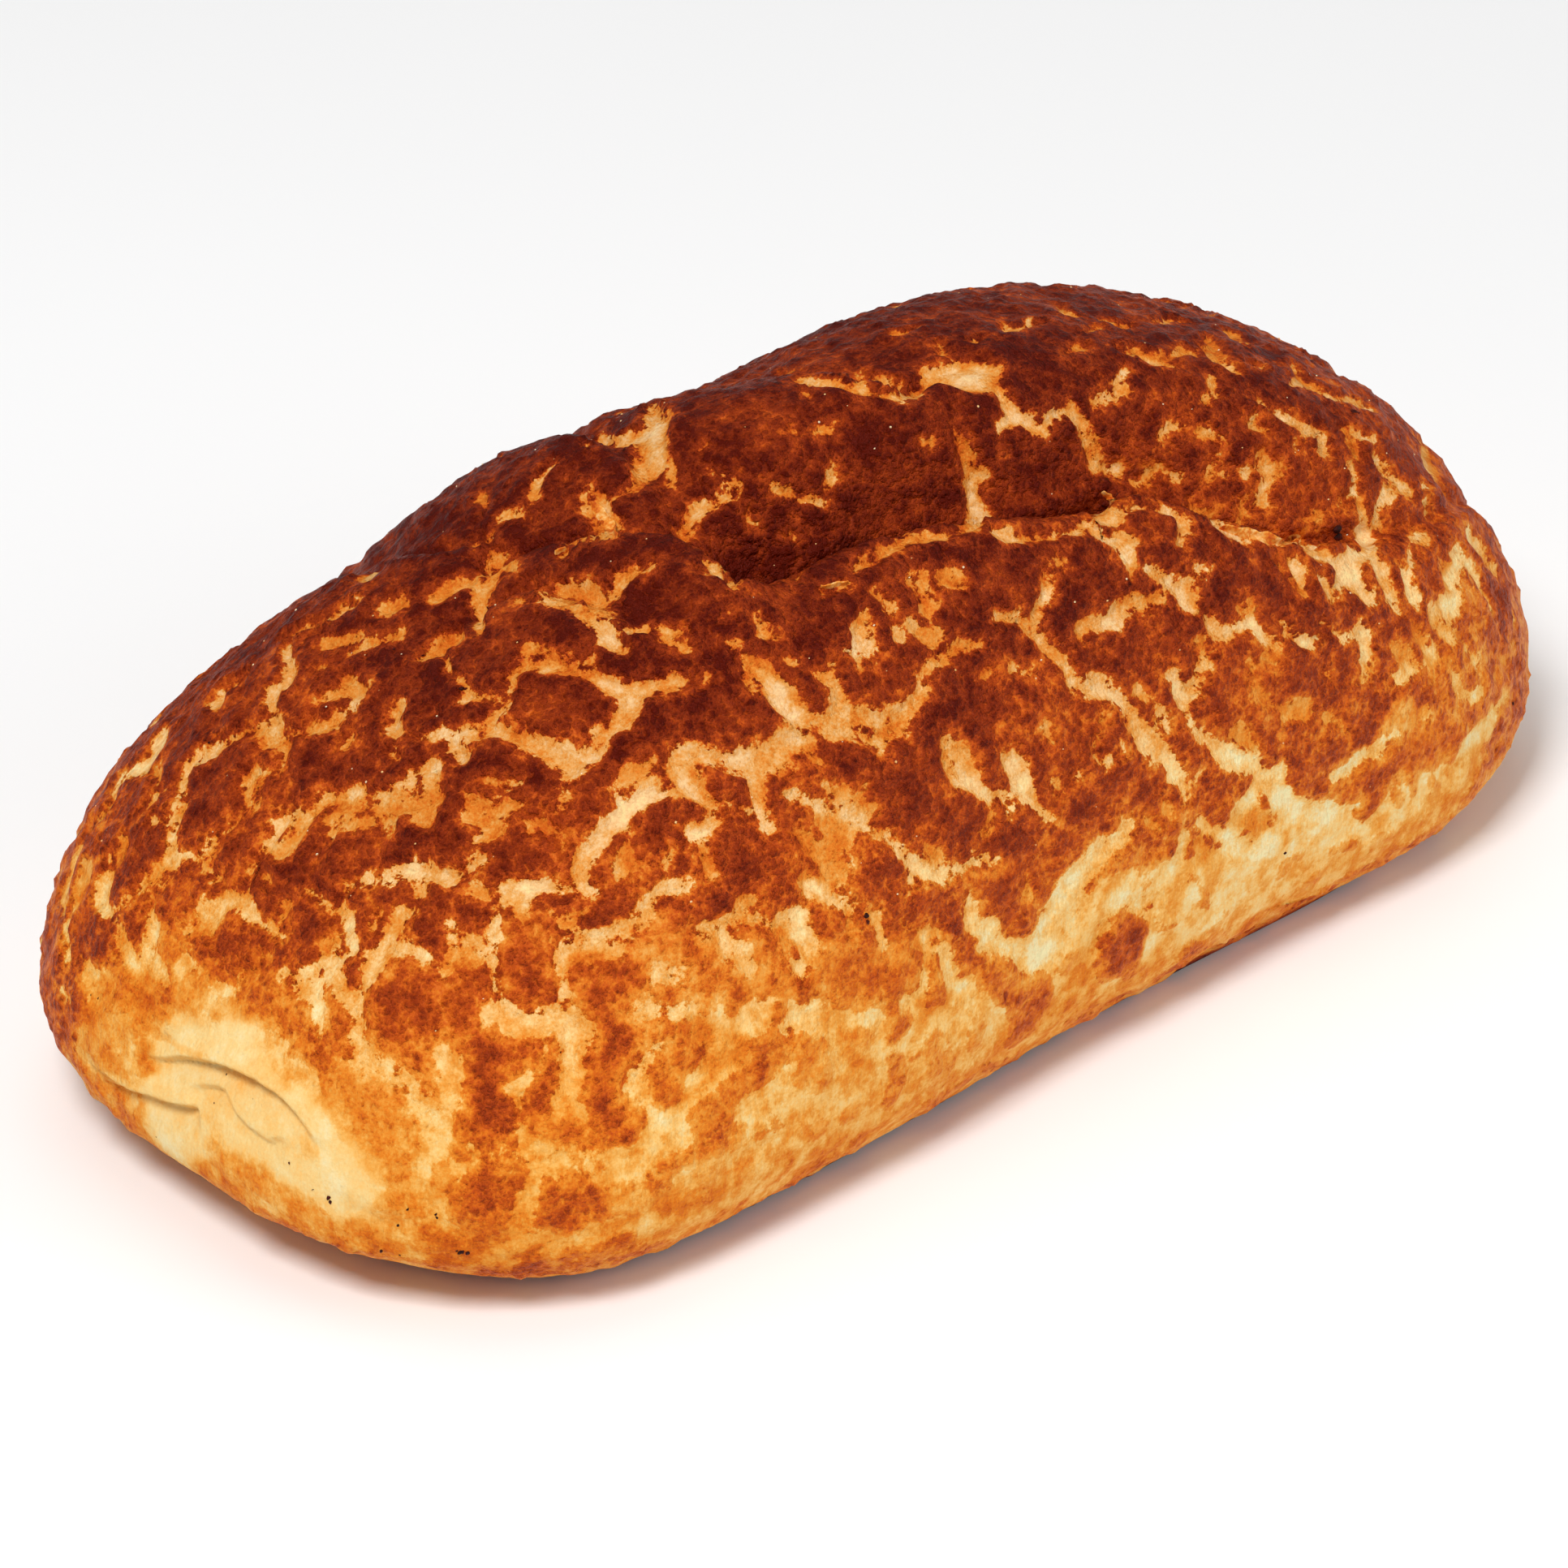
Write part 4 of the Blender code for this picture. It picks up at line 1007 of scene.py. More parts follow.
# %% Lift the near end's rim off the tray
# x and y of the middle, the lift there and its reach
LIFTS = ((275, 1470, 2.0 * MM, 30.0 * MM), (150, 1400, 3.6 * MM, 28.0 * MM))
LIFTED_BELOW = 18.0 * MM
crust_points = read_points(dough_mesh)
height_on_tray = crust_points[:, 2].copy()
lift = np.zeros(len(crust_points))
for x, y, amount, reach in LIFTS:
    line = photo_line(x, y)
    middle = np.array(camera_place - line * (camera_place.z / line.z))
    lift = np.maximum(lift, amount * bell(distances(crust_points, middle), reach))
crust_points[:, 2] += lift * smooth_step(1.0 - crust_points[:, 2] / LIFTED_BELOW)
write_points(dough_mesh, crust_points)
print("the most that the rim is lifted, in mm:", round(1000 * lift.max(), 2))

# %% [markdown]
# ## Laying the strokes on the crust
#
# A stroke is a row of pixels, and a crack is a groove in a curved crust. Each point of a stroke goes along its
# line from the camera to the crust, and its width is turned into millimetres there, because a crack that is
# seen at a slant looks narrower than it is. Painting the pattern through the camera would look the same from
# the front and would smear over the far sides. A groove on the crust itself looks right from anywhere.
#
# For each point of the net the distance to the nearest edge of a crack is kept: below zero inside, above zero
# on a plate. A distance stays sharp between the points of the net, where a painted mask would blur.

# %% Turn a stroke into beads on the crust
STROKE_STEP = 9.0
LEAST_SLANT = 0.35
LONGEST_HOP = 9.0 * MM
camera_axes = np.array([camera_turn @ Vector(axis) for axis in ((1, 0, 0), (0, 1, 0))])


def lay_stroke(numbers):
    """Rows of x, y, z and half the width, in metres, on the crust along a stroke."""
    stroke = np.reshape(np.array(numbers, float), (-1, 3))
    marks = []
    for start, end in zip(stroke, stroke[1:]):
        steps = max(1, math.ceil(math.dist(start[:2], end[:2]) / STROKE_STEP))
        marks += [start + (end - start) * step / steps for step in range(steps)]
    marks = np.array(marks + [stroke[-1]])
    found = [on_crust(x, y) for x, y, _ in marks]
    places = np.array([place[:] for place, _ in found])
    normals = np.array([normal[:] for _, normal in found])
    along = unit(np.gradient(marks[:, :2], axis=0))
    across = unit(np.cross(normals, np.gradient(places, axis=0)))
    per_metre = photo_pixels(places)[2]
    seen = across @ camera_axes.T * per_metre[:, None]
    slant = np.abs(seen[:, 0] * along[:, 1] + seen[:, 1] * along[:, 0])
    slant = np.maximum(slant, LEAST_SLANT * per_metre)
    return np.column_stack([places, marks[:, 2] / 2.0 / slant])


def distance_to_beads(points, beads, reach):
    """Distance of each point from the edge of a stroke, below zero inside it, and no more than reach."""
    nearest = np.full(len(points), reach)
    low, high = beads[:, :3].min(axis=0) - 2 * reach, beads[:, :3].max(axis=0) + 2 * reach
    close = np.flatnonzero(((points > low) & (points < high)).all(axis=1))
    for start, end in zip(beads[:-1], beads[1:]):
        run = end[:3] - start[:3]
        length = np.linalg.norm(run)
        if not 0.0 < length < LONGEST_HOP:
            continue
        near = close[np.abs(points[close] - start[:3]).max(axis=1) < length + reach + start[3]]
        share = np.clip((points[near] - start[:3]) @ run / length**2, 0.0, 1.0)
        distance = np.linalg.norm(points[near] - start[:3] - share[:, None] * run, axis=1)
        distance -= start[3] + share * (end[3] - start[3])
        nearest[near] = np.minimum(nearest[near], distance)
    return nearest


# %% Make the edges ragged
# Paste tears in jags. Each point of the net looks the strokes up from a place a little beside its own.
# JAGS holds the size of the jags and how far they reach, and the seeds are fixed so that each run is the same.
JAGS = ((7.0 * MM, 0.8 * MM), (2.6 * MM, 0.45 * MM))
JAG_SEEDS = (21.0, 22.0, 23.0)


def noise_at(points, size, seed=0.0):
    """One smooth random number from -1 to 1 for each point, in lumps of this size."""
    shift = Vector((seed, 2.0 * seed, 3.0 * seed))
    return np.array([noise.noise(Vector(point) / size + shift) for point in points])


def jagged(points):
    """The points, each moved a little by smooth random amounts along x, y and z."""
    moved = points.copy()
    for size, amount in JAGS:
        moved += amount * np.column_stack([noise_at(points, size, seed) for seed in JAG_SEEDS])
    return moved


crust_points = read_points(dough_mesh)
crust_normals = read_normals(dough_mesh)
jagged_points = jagged(crust_points)
print("the mean jag, in mm:", round(1000 * distances(jagged_points, crust_points).mean(), 2))

# %% [markdown]
# ## How brown the crust is
#
# One number carries the browning, from 0 for raw-looking dough to 1 for the darkest plate. The top of the loaf
# was nearest the heat, so plates darken with height, a little less so at the far end. The dough in the cracks
# is pale, and tan near the foot. Separate colour textures for each part would need to be matched at every
# edge, while one scale of browning passes through orange and rust on its way from pale to dark, as crust does.

# %% The browning of plates and dough
PLATE_LOW, PLATE_HIGH = 0.54, 0.91
TOP_LEVEL = 0.103
FAR_END_LIGHTER = 0.07
DOUGH_TONE = 0.30
FAR_DOUGH_LIGHTER = 0.05
TOP_DOUGH_DARKER = 0.15
FOOT_DOUGH_DARKER = 0.14
FOOT_LEVEL = 0.032
UPPER_LEVEL = 0.05
# Each layer of blotches: how much it changes, the size of its lumps, and its seed
PLATE_BLOTCHES = ((0.06, 24.0 * MM, 3.0), (0.04, 9.0 * MM, 4.0))
DOUGH_BLOTCHES = ((0.05, 14.0 * MM, 5.0), (0.04, 5.0 * MM, 6.0))


def blotches(layers, mean=0.0):
    """A mean with layers of smooth blotches added to it, for each point of the crust."""
    return sum((amount * noise_at(crust_points, size, seed) for amount, size, seed in layers), mean)


level = crust_points[:, 2]
far = np.clip(crust_points[:, 0] / LOAF_REACH[0], 0.0, 1.0)
plate_tone = PLATE_LOW + (PLATE_HIGH - PLATE_LOW) * smooth_step(level / TOP_LEVEL) - FAR_END_LIGHTER * far
plate_tone += blotches(PLATE_BLOTCHES)
upper = smooth_step((level - UPPER_LEVEL) / UPPER_LEVEL)
dough_tone = DOUGH_TONE + TOP_DOUGH_DARKER * upper - FAR_DOUGH_LIGHTER * far
dough_tone += blotches(DOUGH_BLOTCHES)
ground_tone = dough_tone + FOOT_DOUGH_DARKER * smooth_step(1.0 - level / FOOT_LEVEL)
print("plates from", round(plate_tone.min(), 2), "to", round(plate_tone.max(), 2))

# %% Which of the crust the photograph shows
GRAZING, FACING = 0.04, 0.30
BEHIND_A_FOLD = 0.5


def seen_share(points, normals):
    """1 where the photograph shows the crust, 0 where it is hidden, and between along the outline."""
    to_camera = unit(np.array(camera_place) - points)
    share = smooth_step((np.sum(normals * to_camera, axis=1) - GRAZING) / (FACING - GRAZING))
    for index in np.flatnonzero(share > 0.0):
        start = Vector(points[index] + normals[index] * MM)
        if crust_tree.ray_cast(start, Vector(to_camera[index]))[0] is not None:
            share[index] = BEHIND_A_FOLD
    return share


seen = seen_share(crust_points, crust_normals)
print("share of the crust that the photograph shows:", round(float(seen.mean()), 2))

# %% [markdown]
# ## The side that the photograph hides
#
# Behind the loaf the same crust goes on, torn by the same rule: plates start from scattered middles, and the
# cracks run where two plates meet. That is a Voronoi pattern. Blender has a texture for it, but a texture
# can't stop where the traced strokes begin, so the middles are scattered here with a fixed seed, each a fair
# distance from the next, and the cracks open and close along their way. Low down the cracks widen into pale
# ground, as they do on the front.

# %% Tear the hidden side
PLATE_SEED = 11
PLATE_SPACING = 19.0 * MM
CHIP_SPACING = 8.0 * MM
SPACING_VARIES = (0.75, 1.25)
REACH = 6.0 * MM
PLATE_OPENING, CHIP_OPENING, LOW_OPENING = 0.9 * MM, -0.9 * MM, 2.6 * MM
PLATE_GAPS = ((2.0 * MM, 20.0 * MM, 7.0), (0.8 * MM, 7.0 * MM, 8.0))
CHIP_GAPS = ((2.4 * MM, 13.0 * MM, 9.0),)
LOW_LEVEL = 0.05


def scatter_middles(points, spacing, seed):
    """Middles of plates: points of the net, each at least about the spacing from every other."""
    random = np.random.default_rng(seed)
    free = np.ones(len(points), bool)
    middles = []
    for index in random.permutation(len(points)):
        if free[index]:
            middles.append(points[index])
            room = spacing * random.uniform(*SPACING_VARIES)
            free &= distances(points, points[index]) > room
    return np.array(middles)


def crack_between(points, middles):
    """How far each point is from the line where the two nearest plates meet."""
    first = np.full(len(points), np.inf)
    second = first.copy()
    for middle in middles:
        distance = distances(points, middle)
        second = np.minimum(second, np.maximum(first, distance))
        first = np.minimum(first, distance)
    return (second - first) / 2.0


middles = scatter_middles(crust_points, PLATE_SPACING, PLATE_SEED)
chips = scatter_middles(crust_points, CHIP_SPACING, PLATE_SEED + 1)
low = smooth_step(1.0 - level / LOW_LEVEL)
hidden_crack = np.minimum(
    crack_between(jagged_points, middles) - blotches(PLATE_GAPS, PLATE_OPENING),
    crack_between(jagged_points, chips) - blotches(CHIP_GAPS, CHIP_OPENING),
) - LOW_OPENING * low
print("plates:", len(middles), "and chips:", len(chips))

# %% Lay the coats on
ORANGE, BROWN, RUST, TAN = 0.46, 0.59, 0.69, 0.47
SOFT_EDGE, TAN_EDGE, CRACK_EDGE = 2.4 * MM, 1.9 * MM, 1.2 * MM
SOFT_BLEND, CRACK_BLEND = 2.5 * MM, 0.9 * MM
HIDDEN_LOW_LIGHTER = 0.10
surface = {
    "crack": np.full(len(crust_points), REACH),
    "edge_width": np.full(len(crust_points), CRACK_EDGE),
    "plate_tone": plate_tone,
    "dough_tone": dough_tone,
}


def blend_to(name, value, share):
    """Moves one of the surface's numbers part of the way to a value."""
    surface[name] = surface[name] + (value - surface[name]) * share


def lay_coat(strokes, opens, tone, width):
    """Lays one coat of strokes: it opens the crust, or puts plates back. Tone is the coat's browning."""
    distance = np.full(len(crust_points), REACH)
    for stroke in strokes:
        distance = np.minimum(distance, distance_to_beads(jagged_points, lay_stroke(stroke), REACH))
    crack = surface["crack"]
    surface["crack"] = np.minimum(crack, distance) if opens else np.maximum(crack, -distance)
    near = smooth_step(1.0 - distance / (CRACK_BLEND if width == CRACK_EDGE else SOFT_BLEND))
    blend_to("edge_width", width, near)
    blend_to("dough_tone" if opens else "plate_tone", tone, near)
    covered = round(100 * float((distance < 0).mean()), 1)
    print("coat of", len(strokes), "strokes over", covered, "% of the crust")


lay_coat(GROUND, True, ground_tone, SOFT_EDGE)
lay_coat(ORANGE_PLATES, False, ORANGE, SOFT_EDGE)
lay_coat(BROWN_PLATES, False, BROWN, SOFT_EDGE)
lay_coat(RUST_PLATES, False, RUST, SOFT_EDGE)
for places in (TAN_PLACES, NEAR_TAN, SHOULDER_TAN, MIDDLE_TAN, RIDGE_TAN, FRONT_TAN, FAR_TAN):
    lay_coat(places, True, TAN, TAN_EDGE)
for cracks in (NEAR_CRACKS, SHOULDER_CRACKS, RIDGE_CRACKS, FRONT_CRACKS, MIDDLE_CRACKS):
    lay_coat(cracks, True, dough_tone, CRACK_EDGE)
surface["crack"] = np.minimum(surface["crack"], hidden_crack + 2.0 * REACH * seen)
hidden_low = (1.0 - seen) * low
surface["plate_tone"] -= HIDDEN_LOW_LIGHTER * hidden_low
blend_to("dough_tone", ground_tone, hidden_low)
blend_to("edge_width", SOFT_EDGE, hidden_low)

# %% [markdown]
# ## Cream, foot, uneven baking and painted shade
#
# The swirl at the near end is the palest and smoothest dough of the loaf, and where the loaf touched the tray
# a narrow foot has browned. An oven also bakes unevenly, so some places are darker or lighter than height alone
# would have them, and some darker spots on the wall of the valley behind the lip are painted shade. Each is a
# soft round spot on the crust, laid behind a pixel of the photograph. A painted texture would do it too, but it
# would need an unwrapped net.

# %% Cream dough at the swirl, and a browned foot
# x, y and reach, in pixels: cream dough is also the smoothest, which its wide edge stands for
CREAM_SPOTS = (
    (235, 1320, 75), (300, 1355, 85), (365, 1405, 75), (215, 1375, 70), (290, 1285, 45), (420, 1450, 60),
)
CREAM_TONE, CREAM_EDGE = 0.13, 3.5 * MM
CREAM_FROM, CREAM_OVER = 0.30, 0.35
# The foot browns in patches. They are given as the mean, how much they vary, the size and the seed.
FOOT_RIM = 3.6 * MM
FOOT_ON_DOUGH, FOOT_ON_PLATES = 0.60, 0.25
FOOT_MEAN, FOOT_PATCHES = 0.85, ((0.7, 26.0 * MM, 12.0),)


def around(x, y, reach):
    """1 at the place behind a pixel, and less with distance. Reach is in pixels too."""
    centre = np.array(on_crust(x, y)[0])
    return bell(distances(crust_points, centre), reach / FOCAL_PIXELS * VIEW_DISTANCE)


cream = np.max([around(*spot) for spot in CREAM_SPOTS], axis=0)
cream = smooth_step((cream - CREAM_FROM) / CREAM_OVER)
blend_to("dough_tone", CREAM_TONE, cream)
blend_to("edge_width", CREAM_EDGE, cream)
foot = smooth_step(1.0 - height_on_tray / FOOT_RIM)
foot_patches = np.clip(blotches(FOOT_PATCHES, FOOT_MEAN), 0.0, 1.0)
surface["dough_tone"] += FOOT_ON_DOUGH * foot * foot_patches
surface["plate_tone"] += FOOT_ON_PLATES * foot * foot_patches

# %% Places baked darker or lighter than their surroundings, and painted shade on the valley wall
# x, y, reach in pixels, and how much is added to the browning of plates there
# The darker spots on the wall of the valley behind the lip are painted shade
BAKED_AND_SHADED = (
    (955, 530, 50, -0.10), (1085, 660, 36, -0.10), (750, 750, 60, 0.14), (860, 560, 60, 0.08),
    (700, 560, 50, 0.03), (690, 775, 60, 0.04), (800, 680, 50, 0.03), (740, 810, 30, 0.05),
    (540, 840, 50, 0.04), (1100, 510, 36, 0.05), (1200, 690, 50, 0.05), (1010, 760, 60, 0.05),
    (900, 790, 60, 0.04), (960, 700, 60, 0.05), (1250, 560, 60, 0.05), (1690, 975, 30, 0.10),
    (1300, 880, 60, -0.05), (1450, 780, 40, 0.04), (1640, 800, 30, 0.08), (1610, 870, 70, -0.04),
    (1560, 840, 40, -0.05), (1350, 1010, 60, -0.04), (900, 1060, 50, 0.02), (1100, 970, 40, 0.05),
    (1250, 1110, 40, 0.04), (1400, 1090, 40, -0.10), (350, 1040, 30, 0.04), (150, 1080, 80, 0.05),
    (60, 1180, 60, 0.08), (650, 1250, 70, 0.10), (640, 1400, 80, 0.06), (700, 1130, 40, 0.05),
    (480, 1050, 40, 0.04), (640, 1060, 50, -0.02), (930, 970, 40, 0.02), (1030, 1180, 60, 0.02),
    (1850, 740, 40, 0.06), (1840, 820, 50, -0.04), (1730, 850, 50, -0.03), (1480, 690, 50, 0.03),
    (230, 1010, 60, 0.02), (580, 640, 60, 0.02), (840, 880, 60, 0.03), (1050, 400, 60, 0.02),
    (1270, 470, 30, 0.05), (1540, 470, 50, 0.05), (1650, 500, 40, 0.05), (250, 1400, 110, -0.14),
    (650, 1420, 110, 0.03), (600, 900, 60, 0.05), (720, 1020, 70, -0.07), (1080, 1020, 90, -0.05),
    (950, 530, 60, -0.03), (850, 1020, 200, -0.03), (1560, 1050, 60, -0.06), (1450, 920, 80, -0.05),
    (1560, 800, 60, -0.05), (1330, 1100, 90, -0.05), (860, 1400, 90, -0.04), (980, 1380, 80, -0.05),
    (1340, 560, 60, 0.07), (390, 1390, 50, 0.06), (730, 1500, 60, 0.05), (480, 780, 60, 0.05),
    (130, 1330, 60, -0.12), (400, 1490, 90, -0.08), (1050, 1090, 130, -0.06), (640, 560, 130, 0.06),
    (520, 690, 90, 0.05), (1160, 330, 110, -0.04), (1780, 850, 110, -0.05),
)
# and the same for the dough
TANNED = (
    (600, 1540, 80, 0.10), (450, 1500, 60, 0.04), (650, 1300, 90, 0.08), (650, 1430, 80, 0.06),
    (250, 1130, 90, 0.06), (120, 1250, 60, 0.10), (1600, 1040, 90, -0.05), (1480, 1130, 90, -0.05),
    (1270, 1160, 80, -0.09), (1180, 1330, 90, -0.04), (300, 960, 130, 0.07), (150, 1090, 110, 0.05),
    (1800, 620, 110, 0.06), (330, 1340, 120, 0.05), (560, 660, 120, 0.05), (1500, 420, 150, 0.05),
    (1500, 1080, 120, -0.09), (1700, 960, 110, -0.09), (1350, 1200, 90, -0.03),
)
for name, places in (("plate_tone", BAKED_AND_SHADED), ("dough_tone", TANNED)):
    for x, y, reach, amount in places:
        surface[name] += amount * around(x, y, reach)
print("share of the crust that is open:", round(float((surface["crack"] < 0).mean()), 2))

# %% Write the numbers on the net
def write_attribute(mesh, name, values):
    layer = mesh.attributes.new(name, "FLOAT", "POINT")
    layer.data.foreach_set("value", np.asarray(values, np.float32))


# The painted shade of the creases goes on the net with the other numbers
surface["shade"] = crease_shade
for name, values in surface.items():
    write_attribute(dough_mesh, name, values)

# %% [markdown]
# ## Writing node trees as sums
#
# The relief of the crust is a Geometry Nodes tree and its colour is a shader tree, and both are mostly
# arithmetic. Clicking a hundred Math nodes together is slow and hard to read, so a small class wraps a socket
# and lets Python's own signs add the nodes. Every other node is added by one method, which takes the type of
# the node, its settings and what goes into its sockets.

# %% A socket that can be added and multiplied
class Socket:
    """The output of a node. Arithmetic on it adds Math nodes to its tree."""

    def __init__(self, recipe, socket):
        self.recipe, self.socket = recipe, socket

    def math(self, operation, *values):
        return self.recipe.node("ShaderNodeMath", {"operation": operation}, dict(enumerate(values)))

    def __add__(self, other):
        return self.math("ADD", self, other)

    def __radd__(self, other):
        return self.math("ADD", other, self)

    def __sub__(self, other):
        return self.math("SUBTRACT", self, other)

    def __rsub__(self, other):
        return self.math("SUBTRACT", other, self)

    def __mul__(self, other):
        return self.math("MULTIPLY", self, other)

    def __rmul__(self, other):
        return self.math("MULTIPLY", other, self)

    def __truediv__(self, other):
        return self.math("DIVIDE", self, other)

    def __rtruediv__(self, other):
        return self.math("DIVIDE", other, self)

    def smooth(self, low, high):
        """0 below low, 1 above high and an S-curve between."""
        values = {"Value": self, "From Min": low, "From Max": high}
        return self.recipe.node("ShaderNodeMapRange", {"interpolation_type": "SMOOTHSTEP"}, values)

    def limited(self):
        return self.recipe.node("ShaderNodeClamp", {}, {"Value": self})


class Recipe:
    """A node tree that is written as text."""

    def __init__(self, tree):
        self.tree = tree

    def node(self, kind, settings, sockets, output=0):
        """Adds a node: first its settings, then values or links for its sockets. Returns one output."""
        made = self.tree.nodes.new(kind)
        for name, value in settings.items():
            if name == "stops":
                self.set_stops(made.color_ramp, value)
            else:
                setattr(made, name, value)
        self.feed(made, sockets)
        return Socket(self, made.outputs[output]) if made.outputs else None

    def feed(self, made, sockets):
        """Gives the sockets of a node their values or links."""
        for name, value in sockets.items():
            if isinstance(value, Socket):
                self.tree.links.new(value.socket, made.inputs[name])
            else:
                made.inputs[name].default_value = value

    def stored(self, name, kind="FLOAT"):
        """The numbers that a mesh holds under this name, for Geometry Nodes."""
        return self.node("GeometryNodeInputNamedAttribute", {"data_type": kind}, {"Name": name})

    @staticmethod
    def set_stops(ramp, stops):
        while len(ramp.elements) < len(stops):
            ramp.elements.new(1.0)
        for element, (position, colour) in zip(ramp.elements, stops):
            element.position = position
            element.color = (*colour, 1.0)


def open_tree(name, numbers, whole_numbers=()):
    """A recipe for a Geometry Nodes tree with named inputs, and what each input gives."""
    recipe = Recipe(bpy.data.node_groups.new(name, "GeometryNodeTree"))
    face = recipe.tree.interface
    face.new_socket("Geometry", in_out="INPUT", socket_type="NodeSocketGeometry")
    face.new_socket("Geometry", in_out="OUTPUT", socket_type="NodeSocketGeometry")
    for number in numbers:
        face.new_socket(number, in_out="INPUT", socket_type="NodeSocketFloat")
    for number in whole_numbers:
        face.new_socket(number, in_out="INPUT", socket_type="NodeSocketInt")
    entry = recipe.tree.nodes.new("NodeGroupInput")
    return recipe, {socket.name: Socket(recipe, socket) for socket in entry.outputs if socket.name}


def close_tree(recipe, geometry, material):
    """Ends a Geometry Nodes tree: nothing is left as an instance, and the material is on it."""
    whole = recipe.node("GeometryNodeRealizeInstances", {}, {"Geometry": geometry})
    dressed = recipe.node("GeometryNodeSetMaterial", {}, {"Geometry": whole, "Material": material})
    leave = recipe.tree.nodes.new("NodeGroupOutput")
    recipe.tree.links.new(dressed.socket, leave.inputs[0])
    return recipe.tree


def open_material(material):
    """A recipe for a material, its Principled shader, and the Object coordinates."""
    material.use_nodes = True
    recipe = Recipe(material.node_tree)
    place = recipe.node("ShaderNodeTexCoord", {}, {}, "Object")
    return recipe, material.node_tree.nodes["Principled BSDF"], place

# %% [markdown]
# ## The relief of the crust
#
# A plate of dried paste is up to a millimetre thick, so it stands proud of the dough in the cracks, and its
# face is grainy and a little blistered. The Displace modifier can only follow a texture, while Geometry Nodes
# read the distances and browning that were just written on the net, so the height follows a rule: thick plates
# where the crust is dark, thin where it is pale, a raised edge beside each crack, and grain on top.

# %% Grow the relief with Geometry Nodes
RELIEF_INPUTS = {
    "Plate Thickness": 0.85 * MM,
    "Tear Depth": 0.7 * MM,
    "Tear Swell": 0.9 * MM,
    "Edge Lift": 0.18 * MM,
    "Blister Height": 2.4 * MM,
    "Blister Size": 9.0 * MM,
    "Pebble Height": 0.8 * MM,
    "Pebble Size": 3.6 * MM,
    "Grain Height": 1.3 * MM,
    "Grain Size": 2.8 * MM,
}
# Edge widths, in mm: where the edges of cracks are wide and soft, the crust is calm
CALM_BETWEEN = (1.3, 4.0)


def relief_tree(material):
    recipe, given = open_tree("crust relief", RELIEF_INPUTS)
    place = recipe.node("GeometryNodeInputPosition", {}, {})

    def lumps(size, detail):
        settings = {"noise_dimensions": "3D"}
        values = {"Vector": place, "Scale": 1.0 / size, "Detail": detail, "Roughness": 0.55}
        return recipe.node("ShaderNodeTexNoise", settings, values) - 0.5

    crack_mm = recipe.stored("crack") / MM
    calm = (recipe.stored("edge_width") / MM).smooth(*CALM_BETWEEN)
    plate = crack_mm.smooth(-0.5, 1.3)
    browned = recipe.stored("plate_tone").smooth(0.42, 0.90)
    edge = crack_mm.smooth(0.2, 1.1) - crack_mm.smooth(1.3, 3.5)
    height = given["Plate Thickness"] * (plate - 1.0) * (0.2 + 0.8 * browned) * (1.0 - calm)
    depth_mm = 0.0 - crack_mm
    tear = given["Tear Swell"] * depth_mm.smooth(1.2, 4.5) - given["Tear Depth"] * depth_mm.smooth(-0.2, 1.2)
    height = height + tear * (0.3 + 0.7 * browned) * (1.0 - calm)
    height = height + given["Edge Lift"] * edge * browned
    blisters = given["Blister Height"] * lumps(given["Blister Size"], 2.0)
    height = height + blisters * (0.3 + 0.7 * plate) * (1.0 - 0.6 * calm)
    grain = given["Grain Height"] * lumps(given["Grain Size"], 3.0)
    height = height + grain * (0.35 + 0.65 * plate) * (1.0 - 0.8 * calm)
    cells = {"Vector": place, "Scale": 1.0 / given["Pebble Size"], "Randomness": 1.0}
    pebbles = 0.5 - recipe.node("ShaderNodeTexVoronoi", {"feature": "F1"}, cells, "Distance")
    height = height + given["Pebble Height"] * pebbles * plate * (1.0 - calm)
    level = recipe.node("ShaderNodeSeparateXYZ", {}, {"Vector": place}, "Z")
    height = height * level.smooth(0.0, 3.0 * MM)
    normal = recipe.node("GeometryNodeInputNormal", {}, {})
    offset = recipe.node("ShaderNodeVectorMath", {"operation": "SCALE"}, {"Vector": normal, "Scale": height})
    raised = recipe.node("GeometryNodeSetPosition", {}, {"Geometry": given["Geometry"], "Offset": offset})
    return close_tree(recipe, raised, material)


def grow(thing, tree, inputs, name):
    """Runs a tree on an object, with its named inputs set by identifier, and returns the plain mesh."""
    modifier = thing.modifiers.new(tree.name, "NODES")
    modifier.node_group = tree
    for socket in tree.interface.items_tree:
        if socket.in_out == "INPUT" and socket.name in inputs:
            modifier[socket.identifier] = inputs[socket.name]
    return plain_mesh(thing, name)


crust_material = bpy.data.materials.new("tiger crust")
crust_mesh = grow(new_object("dough", dough_mesh), relief_tree(crust_material), RELIEF_INPUTS, "tiger crust")
crust_top = read_points(crust_mesh)[:, 2].max()
print("the crust has", len(crust_mesh.polygons), "faces, up to", round(1000 * crust_top, 1), "mm high")

# %% [markdown]
# ## The base
#
# The loaf was baked on a flat tray, so its base is flat and browned all over. The open rim of the crust is
# closed with rings that shrink towards the middle, and one fan of triangles in the centre. A single face with
# eight hundred corners would close it too, but its colour could only come from the rim's own points.

# %% Close the base
BASE_RINGS = (0.97, 0.85, 0.50)
BASE_TONE = 0.62
BASE_NUMBERS = {
    "crack": REACH, "plate_tone": BASE_TONE, "dough_tone": BASE_TONE, "edge_width": SOFT_EDGE, "shade": 0.0,
}


